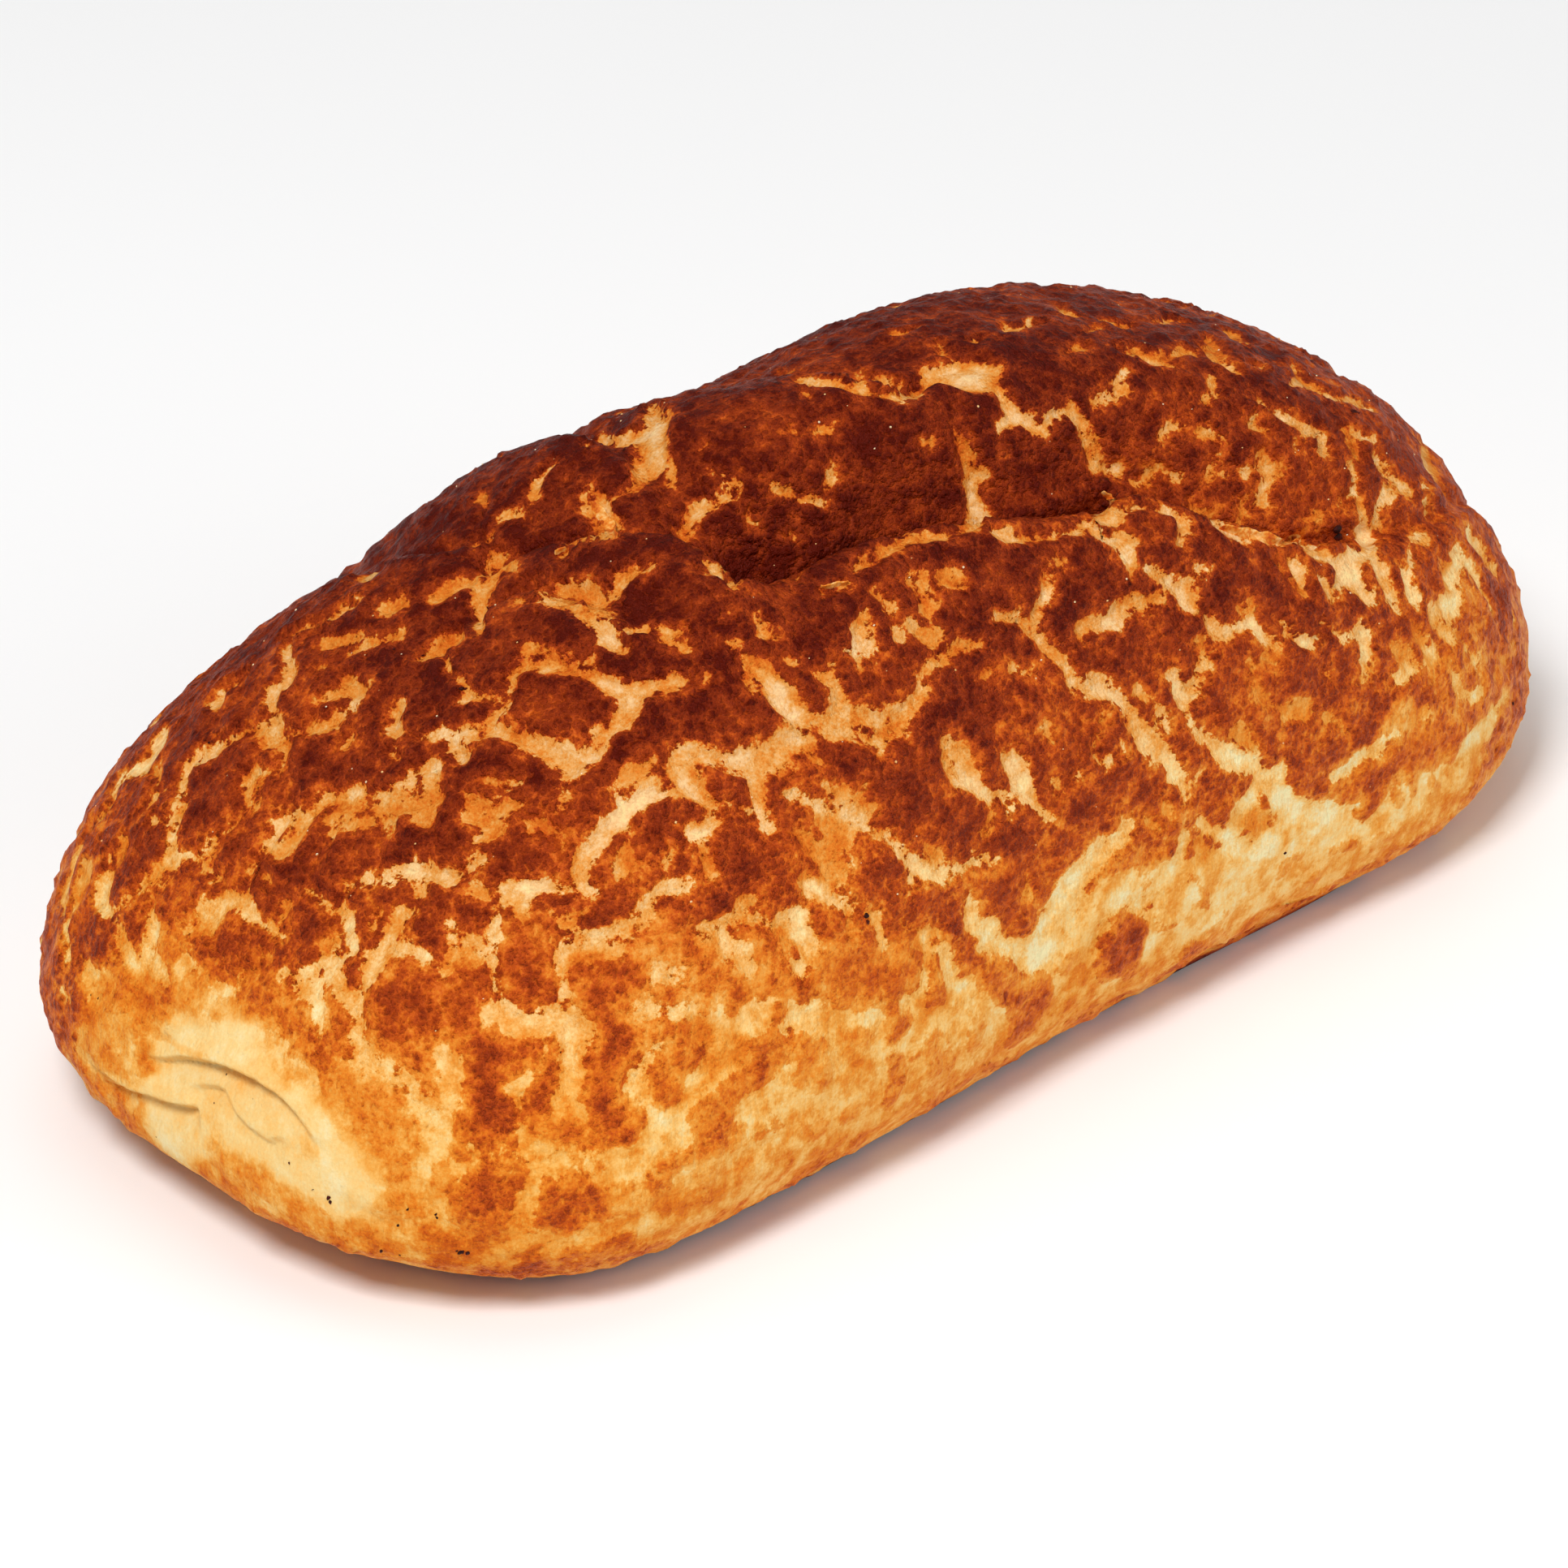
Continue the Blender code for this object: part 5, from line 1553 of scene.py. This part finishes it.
def close_base(mesh):
    body = bmesh.new()
    body.from_mesh(mesh)
    layers = {name: body.verts.layers.float[name] for name in BASE_NUMBERS}
    edges = [edge for edge in body.edges if edge.is_boundary]
    outline = sorted({vertex for edge in edges for vertex in edge.verts}, key=lambda vertex: vertex.index)
    middle = sum((vertex.co for vertex in outline), Vector()) / len(outline)

    def base_point(place):
        vertex = body.verts.new((place.x, place.y, 0.0))
        for name, number in BASE_NUMBERS.items():
            vertex[layers[name]] = number
        return vertex

    outer = {vertex: vertex for vertex in outline}
    made = []
    for share in BASE_RINGS:
        inner = {vertex: base_point(middle.lerp(vertex.co, share)) for vertex in outline}
        for edge in edges:
            first, second = edge.verts
            made.append(body.faces.new((outer[first], outer[second], inner[second], inner[first])))
        outer = inner
    centre = base_point(middle)
    for edge in edges:
        first, second = edge.verts
        made.append(body.faces.new((outer[first], outer[second], centre)))
    bmesh.ops.recalc_face_normals(body, faces=body.faces)
    open_edges = sum(edge.is_boundary for edge in body.edges)
    body.to_mesh(mesh)
    body.free()
    return len(made), open_edges


print("faces of the base and edges left open:", close_base(crust_mesh))
crust_mesh.shade_smooth()
crust = new_object("tiger_crust", crust_mesh)

# %% [markdown]
# ## The colour of the crust
#
# The crust runs from cream through tan, orange and rust to dark brown, and the same scale serves plates, cracks
# and everything between. A Color Ramp holds it. The browning that reaches the ramp is worked out for each point
# of the surface: the distance to the crack, with fine jags added, says how much of a plate is there, and grain,
# specks and fibres are added on top. Mixing two finished colours would be simpler, but the edges would then
# pass through a grey tan, not through orange.

# %% The scale of browning
def srgb(red, green, blue):
    """A colour given as on a screen, from 0 to 255, in the linear form that shaders take."""
    return tuple(
        value / 255 / 12.92 if value <= 10.3 else ((value / 255 + 0.055) / 1.055) ** 2.4
        for value in (red, green, blue)
    )


BROWNING = (
    (0.00, srgb(234, 224, 196)),
    (0.07, srgb(234, 214, 182)),
    (0.14, srgb(234, 202, 153)),
    (0.22, srgb(235, 186, 121)),
    (0.30, srgb(229, 166, 89)),
    (0.38, srgb(223, 146, 60)),
    (0.46, srgb(218, 125, 36)),
    (0.54, srgb(206, 102, 23)),
    (0.62, srgb(190, 81, 18)),
    (0.70, srgb(168, 64, 16)),
    (0.78, srgb(147, 51, 14)),
    (0.86, srgb(128, 40, 9)),
    (0.93, srgb(109, 29, 4)),
    (1.00, srgb(88, 16, 1)),
)
# The colour that the crust's colour is multiplied by in full painted shade, in the creases of the pale end
CREASE_SHADE = (0.86, 0.63, 0.30, 1.0)
# Low on the loaf the crust is as yellow as butter, and on top it is duller, as if dusted with flour
BUTTERY, DUSTY = (1.03, 1.0, 0.74, 1.0), (0.93, 1.02, 1.35, 1.0)
DUSTED_BETWEEN = (0.030, 0.085)

# %% The noises of the crust, and how they are mixed
# From broad to fine: size, detail and roughness. Pebbles have only a size.
GRAINS = {
    "broad": (16.0 * MM, 2.0, 0.6),
    "coarse": (7.0 * MM, 2.0, 0.6),
    "medium": (2.6 * MM, 2.0, 0.6),
    "fine": (1.1 * MM, 3.0, 0.7),
    "dust": (0.5 * MM, 2.0, 0.6),
}
PEBBLES = {"lobes": 3.6 * MM, "beads": 1.4 * MM}
# Patches are read from another part of the noise, and fibres run up the sides
PATCHES, PATCHES_SHIFT = (5.0 * MM, 4.0, 0.65), (0.3, 0.7, 0.5)
FIBRES, FIBRES_STRETCH = (0.8 * MM, 3.0, 0.6), (1.0, 1.0, 0.22)
# How much of each noise goes into the jags of the cracks, in mm, and into the browning
JAG_MIX = {"coarse": 2.2, "medium": 2.0, "lobes": 2.0, "beads": 0.6, "fine": 1.7, "dust": 1.1}
MOTTLE_MIX = {
    "broad": 0.5, "patches": 0.6, "medium": 0.35, "fine": 0.3, "dust": 0.3, "lobes": 0.10, "beads": 0.14,
}
STREAK_MIX = {"coarse": 0.6, "patches": 0.5, "fibres": 0.20, "dust": 0.25}
BLOTCH_MIX = {"patches": 1.0, "medium": 0.5, "fine": 0.3}
BLOTCHED_BY, GASH_PALER = 0.10, 0.10
# and into the bumps of browned paste and of pale dough
PASTE_BUMPS = {"beads": 0.9, "medium": 0.7, "fine": 1.0, "dust": 0.6}
DOUGH_BUMPS = {"fibres": 0.4, "fine": 0.3, "medium": 0.4}

# %% Build the material of the crust
BUMP_HEIGHT = 1.1 * MM
SPECULAR = 0.08


def crust_surface(material):
    """Gives a material the crust's colour, shine and grain, all from one browning."""
    recipe, shader, place = open_material(material)

    def stored(name):
        return recipe.node("ShaderNodeAttribute", {"attribute_name": name}, {}, "Fac")

    def grain(size, detail, rough, vector=place):
        values = {"Vector": vector, "Scale": 1.0 / size, "Detail": detail, "Roughness": rough}
        return recipe.node("ShaderNodeTexNoise", {"noise_dimensions": "3D"}, values) - 0.5

    def pebbles(size):
        values = {"Vector": place, "Scale": 1.0 / size, "Randomness": 1.0}
        return 0.5 - recipe.node("ShaderNodeTexVoronoi", {"feature": "F1"}, values, "Distance")

    shifted = recipe.node("ShaderNodeVectorMath", {"operation": "ADD"}, {0: place, 1: PATCHES_SHIFT}, "Vector")
    values = {"Vector": place, "Scale": FIBRES_STRETCH}
    upright = recipe.node("ShaderNodeMapping", {"vector_type": "POINT"}, values)
    noises = {name: grain(*values) for name, values in GRAINS.items()}
    noises["patches"] = grain(*PATCHES, shifted)
    noises["fibres"] = grain(*FIBRES, upright)
    noises.update({name: pebbles(size) for name, size in PEBBLES.items()})

    def mixed(amounts):
        first, *others = [amount * noises[name] for name, amount in amounts.items()]
        return sum(others, first)

    # How much of a plate there is. Where the crust is calm, edges are smooth and soft.
    edge_mm = stored("edge_width") / MM
    calm = edge_mm.smooth(*CALM_BETWEEN)
    crack_mm = stored("crack") / MM + (mixed(JAG_MIX) - 0.1) * (1.0 - 0.75 * calm)
    halo_mm = recipe.node("ShaderNodeMath", {"operation": "MINIMUM"}, {0: edge_mm, 1: 2.6})
    halo_mm = halo_mm * (1.6 + 7.0 * noises["broad"])
    halo_mm = recipe.node("ShaderNodeMath", {"operation": "MAXIMUM"}, {0: halo_mm, 1: 0.5})
    skin = crack_mm.smooth(-0.35, 0.25)
    crust = crack_mm.smooth(-0.2, 0.4 + halo_mm)
    sharp = 0.65 - 0.55 * calm
    plate = sharp * skin + (1.0 - sharp) * crust

    # How brown plates and dough are. Low ground is blotched, and the inside of a wide gash is paler.
    plate_tone = stored("plate_tone") + mixed(MOTTLE_MIX) * (1.0 - 0.65 * calm)
    low_ground = edge_mm.smooth(1.9, 2.4) * (1.0 - edge_mm.smooth(2.6, 3.4))
    blotched = mixed(BLOTCH_MIX).smooth(-0.10, 0.12) - 0.5
    gash = (0.0 - crack_mm).smooth(0.2, 2.2) * (1.0 - edge_mm.smooth(1.3, 2.2))
    dough_tone = stored("dough_tone") + mixed(STREAK_MIX) * (1.0 - 0.55 * calm)
    dough_tone = dough_tone + BLOTCHED_BY * blotched * low_ground - GASH_PALER * gash
    tone = dough_tone + (plate_tone - dough_tone) * plate
    colour = recipe.node("ShaderNodeValToRGB", {"stops": BROWNING}, {"Fac": tone}, "Color")
    multiplied = {"data_type": "RGBA", "blend_type": "MULTIPLY"}
    level = recipe.node("ShaderNodeSeparateXYZ", {}, {"Vector": place}, "Z")
    half_baked = tone.smooth(0.10, 0.28) * (1.0 - tone.smooth(0.38, 0.70))
    dusty = level.smooth(*DUSTED_BETWEEN) * half_baked
    tint = recipe.node("ShaderNodeMix", {"data_type": "RGBA"}, {0: dusty, 6: BUTTERY, 7: DUSTY}, 2)
    colour = recipe.node("ShaderNodeMix", multiplied, {0: 1.0, 6: colour, 7: tint}, 2)
    # Painted shade: the colour is darkened along the creases of the pale end
    colour = recipe.node("ShaderNodeMix", multiplied, {0: stored("shade"), 6: colour, 7: CREASE_SHADE}, 2)

    # The grain of the surface, and how it shines
    rough = 0.64 - 0.20 * plate + 0.30 * noises["fine"]
    browned = tone.smooth(0.35, 0.80)
    height = browned * mixed(PASTE_BUMPS) + (1.0 - browned) * mixed(DOUGH_BUMPS) * (1.0 - 0.4 * calm)
    bump = recipe.node("ShaderNodeBump", {}, {"Height": height, "Distance": BUMP_HEIGHT, "Strength": 1.0})
    recipe.feed(shader, {
        "Base Color": colour, "Roughness": rough.limited(), "Specular IOR Level": SPECULAR, "Normal": bump,
    })


crust_surface(crust_material)
print("the crust's shader has", len(crust_material.node_tree.nodes), "nodes")

# %% [markdown]
# ## Burnt specks and loose grains
#
# A few crumbs of dough and paste burned black on the tray and on the crust, and the dark crust is dusted with
# tiny pale grains of dried rice paste. They could be dots in the colour, but a dot has no height and looks
# printed when the light comes from the side. Geometry Nodes put one small lump on each place: the specks go
# where they were seen on the photograph, and the grains are scattered with a fixed seed. A grain is a ball of
# only twenty faces, because there are many, and a speck has eighty. Noise makes each copy irregular.

# %% Find the finished crust behind a pixel
finished_tree = BVHTree.FromPolygons(
    [vertex.co for vertex in crust_mesh.vertices], [face.vertices for face in crust_mesh.polygons]
)


def on_finished_crust(x, y):
    """The place on the finished crust behind a pixel of the photograph, and the way out of it."""
    place, normal, _, _ = finished_tree.ray_cast(camera_place, photo_line(x, y))
    if place is None:
        place, normal, _, _ = finished_tree.find_nearest(on_crust(x, y)[0])
    return place, normal


# %% The materials of specks, grains and flakes
BURNT = (0.22, 0.25, 0.45, 1.0)
BURNT_FROM, BURNT_TO = 1.0, 1.3
CRUMB_BUMP = 0.3 * MM
CRUMB_SPECULAR = 0.15


def paste_surface(name, low_tone, high_tone, size):
    """Dried paste of one browning, a little blotched and grainy. Size is that of its blotches."""
    material = bpy.data.materials.new(name)
    recipe, shader, place = open_material(material)
    broad = recipe.node("ShaderNodeTexNoise", {}, {"Vector": place, "Scale": 1.0 / size, "Detail": 3.0})
    dust = recipe.node("ShaderNodeTexNoise", {}, {"Vector": place, "Scale": 4.0 / size, "Detail": 2.0})
    tone = low_tone + (high_tone - low_tone) * broad.smooth(0.3, 0.7) + 0.3 * (dust - 0.5)
    colour = recipe.node("ShaderNodeValToRGB", {"stops": BROWNING}, {"Fac": tone}, "Color")
    burnt = {"data_type": "RGBA", "blend_type": "MULTIPLY"}
    colour = recipe.node("ShaderNodeMix", burnt, {0: tone.smooth(BURNT_FROM, BURNT_TO), 6: colour, 7: BURNT}, 2)
    bump = recipe.node("ShaderNodeBump", {}, {"Height": dust, "Distance": CRUMB_BUMP, "Strength": 0.6})
    rough = 0.75 - 0.3 * dust
    recipe.feed(shader, {
        "Base Color": colour, "Roughness": rough, "Specular IOR Level": CRUMB_SPECULAR, "Normal": bump,
    })
    return material


# %% A tree that puts lumps on points
LUMP_INPUTS = {"Flatness": 0.5, "Unevenness": 0.7}
LUMP_NARROWEST, LUMP_SEED = 0.6, 5
LUMP_NOISE = 0.625 * MM


def lump_tree(name, material, scattered):
    """Puts an irregular lump on each point of a mesh or, where scattered, on random points of its faces."""
    if scattered:
        recipe, given = open_tree(name, [*LUMP_INPUTS, "Density", "Least Size", "Greatest Size"], ["Seed"])
        browned = recipe.stored("plate_tone").smooth(0.55, 0.85)
        density = given["Density"] * browned * (recipe.stored("crack") / MM).smooth(0.0, 1.0)
        settings = {"distribute_method": "RANDOM"}
        values = {"Mesh": given["Geometry"], "Density": density, "Seed": given["Seed"]}
        points = recipe.node("GeometryNodeDistributePointsOnFaces", settings, values, "Points")
        out = Socket(recipe, points.socket.node.outputs["Normal"])
        values = {2: given["Least Size"], 3: given["Greatest Size"], "Seed": given["Seed"]}
        size = recipe.node("FunctionNodeRandomValue", {"data_type": "FLOAT"}, values, 1)
    else:
        recipe, given = open_tree(name, LUMP_INPUTS)
        points = given["Geometry"]
        out = recipe.stored("out", "FLOAT_VECTOR")
        size = recipe.stored("size")
    upright = recipe.node("FunctionNodeAlignRotationToVector", {"axis": "Z"}, {"Vector": out})
    values = {2: LUMP_NARROWEST, 3: 1.0, "Seed": LUMP_SEED}
    across = recipe.node("FunctionNodeRandomValue", {"data_type": "FLOAT"}, values, 1)
    scale = recipe.node("ShaderNodeCombineXYZ", {}, {0: size, 1: size * across, 2: size * given["Flatness"]})
    ball = recipe.node("GeometryNodeMeshIcoSphere", {}, {"Radius": 0.5, "Subdivisions": 1 if scattered else 2})
    values = {"Points": points, "Instance": ball, "Rotation": upright, "Scale": scale}
    lumps = recipe.node("GeometryNodeInstanceOnPoints", {}, values)
    lumps = recipe.node("GeometryNodeRealizeInstances", {}, {"Geometry": lumps})
    place = recipe.node("GeometryNodeInputPosition", {}, {})
    values = {"Vector": place, "Scale": 1.0 / LUMP_NOISE, "Detail": 1.0}
    push = recipe.node("ShaderNodeTexNoise", {}, values, "Color")
    push = recipe.node("ShaderNodeVectorMath", {"operation": "SUBTRACT"}, {0: push, 1: (0.5, 0.5, 0.5)})
    values = {"Vector": push, "Scale": given["Unevenness"] * MM}
    push = recipe.node("ShaderNodeVectorMath", {"operation": "SCALE"}, values)
    lumps = recipe.node("GeometryNodeSetPosition", {}, {"Geometry": lumps, "Offset": push})
    lumps = recipe.node("GeometryNodeSetShadeSmooth", {}, {0: lumps})
    return close_tree(recipe, lumps, material)


# %% Put the burnt specks on their places
# x, y and width, in pixels
SPECKS = (
    (1648, 652, 14), (1649, 662, 13), (1668, 507, 9), (1673, 508, 6), (569, 848, 7), (574, 849, 5),
    (258, 915, 4), (385, 1466, 4), (405, 1476, 6), (407, 1481, 5), (490, 1510, 5), (537, 1496, 5),
    (538, 1500, 3), (503, 1490, 4), (1583, 1051, 4), (1864, 867, 6), (485, 800, 4), (521, 808, 4),
    (601, 749, 4), (568, 1543, 8), (576, 1544, 7), (563, 1541, 4), (357, 1433, 3), (279, 1324, 2),
    (264, 1359, 2), (311, 1355, 2), (247, 1294, 2), (192, 1401, 3), (470, 1541, 5), (492, 1546, 4),
    (1067, 1128, 9), (1069, 1136, 6), (690, 1297, 4), (112, 1226, 3), (121, 1230, 3),
)
PIXELS_TO_METRES = VIEW_DISTANCE / FOCAL_PIXELS
speck_mesh = bpy.data.meshes.new("speck places")
found = [on_finished_crust(x, y) for x, y, _ in SPECKS]
speck_mesh.from_pydata([place[:] for place, _ in found], [], [])
write_attribute(speck_mesh, "size", [width * PIXELS_TO_METRES for _, _, width in SPECKS])
ways_out = speck_mesh.attributes.new("out", "FLOAT_VECTOR", "POINT")
ways_out.data.foreach_set("vector", [number for _, normal in found for number in normal])
speck_tree = lump_tree("burnt specks", paste_surface("burnt paste", 1.1, 1.35, 1.2 * MM), False)
speck_places = new_object("speck places", speck_mesh)
specks = new_object("burnt_specks", grow(speck_places, speck_tree, LUMP_INPUTS, "burnt specks"))
print("burnt specks:", len(SPECKS), "with", len(specks.data.polygons), "faces")

# %% Scatter the pale grains
GRAIN_INPUTS = {
    "Flatness": 0.7, "Unevenness": 0.12, "Density": 5200.0,
    "Least Size": 0.22 * MM, "Greatest Size": 0.55 * MM, "Seed": 4,
}
grain_tree = lump_tree("paste grains", paste_surface("pale paste", 0.02, 0.30, 0.8 * MM), True)
grain_ground = new_object("grain ground", crust_mesh.copy())
grains = new_object("paste_grains", grow(grain_ground, grain_tree, GRAIN_INPUTS, "paste grains"))
print("pale grains have", len(grains.data.polygons), "faces")

# %% [markdown]
# ## Lifted flakes
#
# In a few places a thin flake of dried paste has come loose on one side: along the open lip, across a tear on
# the near shoulder, and at the outline. A displaced surface can't overhang itself, so each flake is a small
# sheet of its own. One edge is let into the crust, the other stands off it, and a Solidify modifier gives it
# the thickness of dried paste.

# %% Build the flakes
# For each flake: how far its free edge lifts, in millimetres, and its middle line as x, y and width, in pixels.
# The free edge is on the left of the line as it runs.
FLAKES = (
    (1.3, ((1502, 650, 4), (1520, 655, 9), (1540, 661, 12), (1560, 666, 11), (1580, 669, 9), (1600, 668, 4))),
    (1.0, ((728, 622, 6), (736, 632, 12), (745, 643, 14), (754, 654, 12), (761, 663, 5))),
    (0.9, ((176, 902, 3), (180, 897, 6), (185, 892, 3))),
    (0.7, ((683, 683, 3), (690, 680, 5), (699, 677, 3))),
    (0.8, ((1010, 724, 3), (1022, 723, 6), (1034, 720, 6), (1045, 717, 3))),
    (0.8, ((1357, 606, 4), (1364, 612, 9), (1372, 617, 4))),
)
FLAKE_ROWS, FLAKE_COLUMNS = 4, 5
FLAKE_THICKNESS = 0.28 * MM
FLAKE_ROOT = 0.25 * MM
FLAKE_TATTER, TATTER_PIXELS = 0.25, 4.0


def add_flake(body, lift, line):
    """Adds one flake to the mesh: a strip across its middle line, from the rooted edge to the free one."""
    grid = []
    for start, end in zip(line, line[1:]):
        for step in range(FLAKE_ROWS):
            grid.append(np.array(start) + (np.array(end) - start) * step / FLAKE_ROWS)
    grid.append(np.array(line[-1], float))
    grid = np.array(grid)
    along = unit(np.gradient(grid[:, :2], axis=0))
    rows = []
    for (x, y, width), (run_x, run_y) in zip(grid, along):
        row = []
        for column in range(FLAKE_COLUMNS):
            share = column / (FLAKE_COLUMNS - 1)
            tatter = FLAKE_TATTER * share * noise.noise(Vector((x, y, 0.0)) / TATTER_PIXELS)
            aside = (share - 0.5 + tatter) * width
            place, normal = on_finished_crust(x + run_y * aside, y - run_x * aside)
            height = lift * MM * share**1.5 - FLAKE_ROOT * (1.0 - share)
            row.append(body.verts.new(place + normal * height))
        rows.append(row)
    for row, after in zip(rows, rows[1:]):
        for column in range(FLAKE_COLUMNS - 1):
            body.faces.new((row[column], row[column + 1], after[column + 1], after[column]))


flake_body = bmesh.new()
for lift, line in FLAKES:
    add_flake(flake_body, lift, line)
bmesh.ops.recalc_face_normals(flake_body, faces=flake_body.faces)
flake_mesh = bpy.data.meshes.new("lifted flakes")
flake_body.to_mesh(flake_mesh)
flake_body.free()
flake_mesh.materials.append(paste_surface("flake of paste", 0.25, 0.62, 2.2 * MM))
flake_sheet = new_object("flake sheet", flake_mesh)
thickness = flake_sheet.modifiers.new("thickness", "SOLIDIFY")
thickness.thickness, thickness.offset = FLAKE_THICKNESS, 0.0
rounding = flake_sheet.modifiers.new("rounding", "SUBSURF")
rounding.levels = rounding.render_levels = 1
flakes = new_object("lifted_flakes", plain_mesh(flake_sheet, "lifted flakes"))
flakes.data.shade_smooth()
print("flakes:", len(FLAKES), "with", len(flakes.data.polygons), "faces")

# %% [markdown]
# ## Floor and light
#
# The loaf was photographed on white. A pale floor and a pale sky give that, and big soft lights, as a
# photographer's softboxes, give even light with a little shape. A single lamp would cast a hard shadow that the
# photograph doesn't have.

# %% Lay the floor
FLOOR_SIDE = 6.0
FLOOR_DROP = 0.2 * MM
FLOOR_CLOUDS = 3.0
FLOOR_DULL, FLOOR_BRIGHT = (0.90, 0.90, 0.90, 1.0), (0.92, 0.92, 0.92, 1.0)


def pale_surface(name):
    material = bpy.data.materials.new(name)
    recipe, shader, place = open_material(material)
    cloud = recipe.node("ShaderNodeTexNoise", {}, {"Vector": place, "Scale": FLOOR_CLOUDS, "Detail": 2.0})
    shade = recipe.node("ShaderNodeMix", {"data_type": "RGBA"}, {0: cloud, 6: FLOOR_DULL, 7: FLOOR_BRIGHT}, 2)
    recipe.feed(shader, {"Base Color": shade, "Roughness": 0.9, "Specular IOR Level": 0.1})
    return material


floor_mesh = bpy.data.meshes.new("floor")
half = FLOOR_SIDE / 2.0
corners = [(x * half, y * half, -FLOOR_DROP) for x, y in ((-1, -1), (1, -1), (1, 1), (-1, 1))]
floor_mesh.from_pydata(corners, [], [(0, 1, 2, 3)])
floor_mesh.materials.append(pale_surface("floor paper"))
floor = new_object("floor", floor_mesh)

# %% Hang the lights
# Each softbox: its place, its side, and its power in watts
SOFTBOXES = {
    "key": ((-1.0, -0.5, 1.7), 0.6, 31.0),
    "fill": ((1.1, -1.5, 0.8), 1.2, 12.0),
    "top": ((0.2, 0.5, 1.9), 1.3, 6.0),
}
SKY_STRENGTH = 0.30
for name, (place, side, power) in SOFTBOXES.items():
    lamp = bpy.data.lights.new(name, "AREA")
    lamp.shape = "SQUARE"
    lamp.size = side
    lamp.energy = power
    light = bpy.data.objects.new(name, lamp)
    light.location = place
    light.rotation_mode = "QUATERNION"
    light.rotation_quaternion = (Vector(place) - LOOKED_AT).to_track_quat("Z", "Y")
    scene.collection.objects.link(light)
sky = bpy.data.worlds.new("studio")
sky.use_nodes = True
sky.node_tree.nodes["Background"].inputs["Color"].default_value = (1.0, 1.0, 1.0, 1.0)
sky.node_tree.nodes["Background"].inputs["Strength"].default_value = SKY_STRENGTH
scene.world = sky
scene.view_settings.view_transform = "Standard"
print("lights:", ", ".join(SOFTBOXES))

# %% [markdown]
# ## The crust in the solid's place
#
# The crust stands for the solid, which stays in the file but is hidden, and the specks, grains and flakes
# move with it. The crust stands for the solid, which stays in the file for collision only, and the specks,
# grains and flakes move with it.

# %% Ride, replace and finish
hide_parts("loaf")
for piece in (crust, specks, grains, flakes):
    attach(piece, "root")
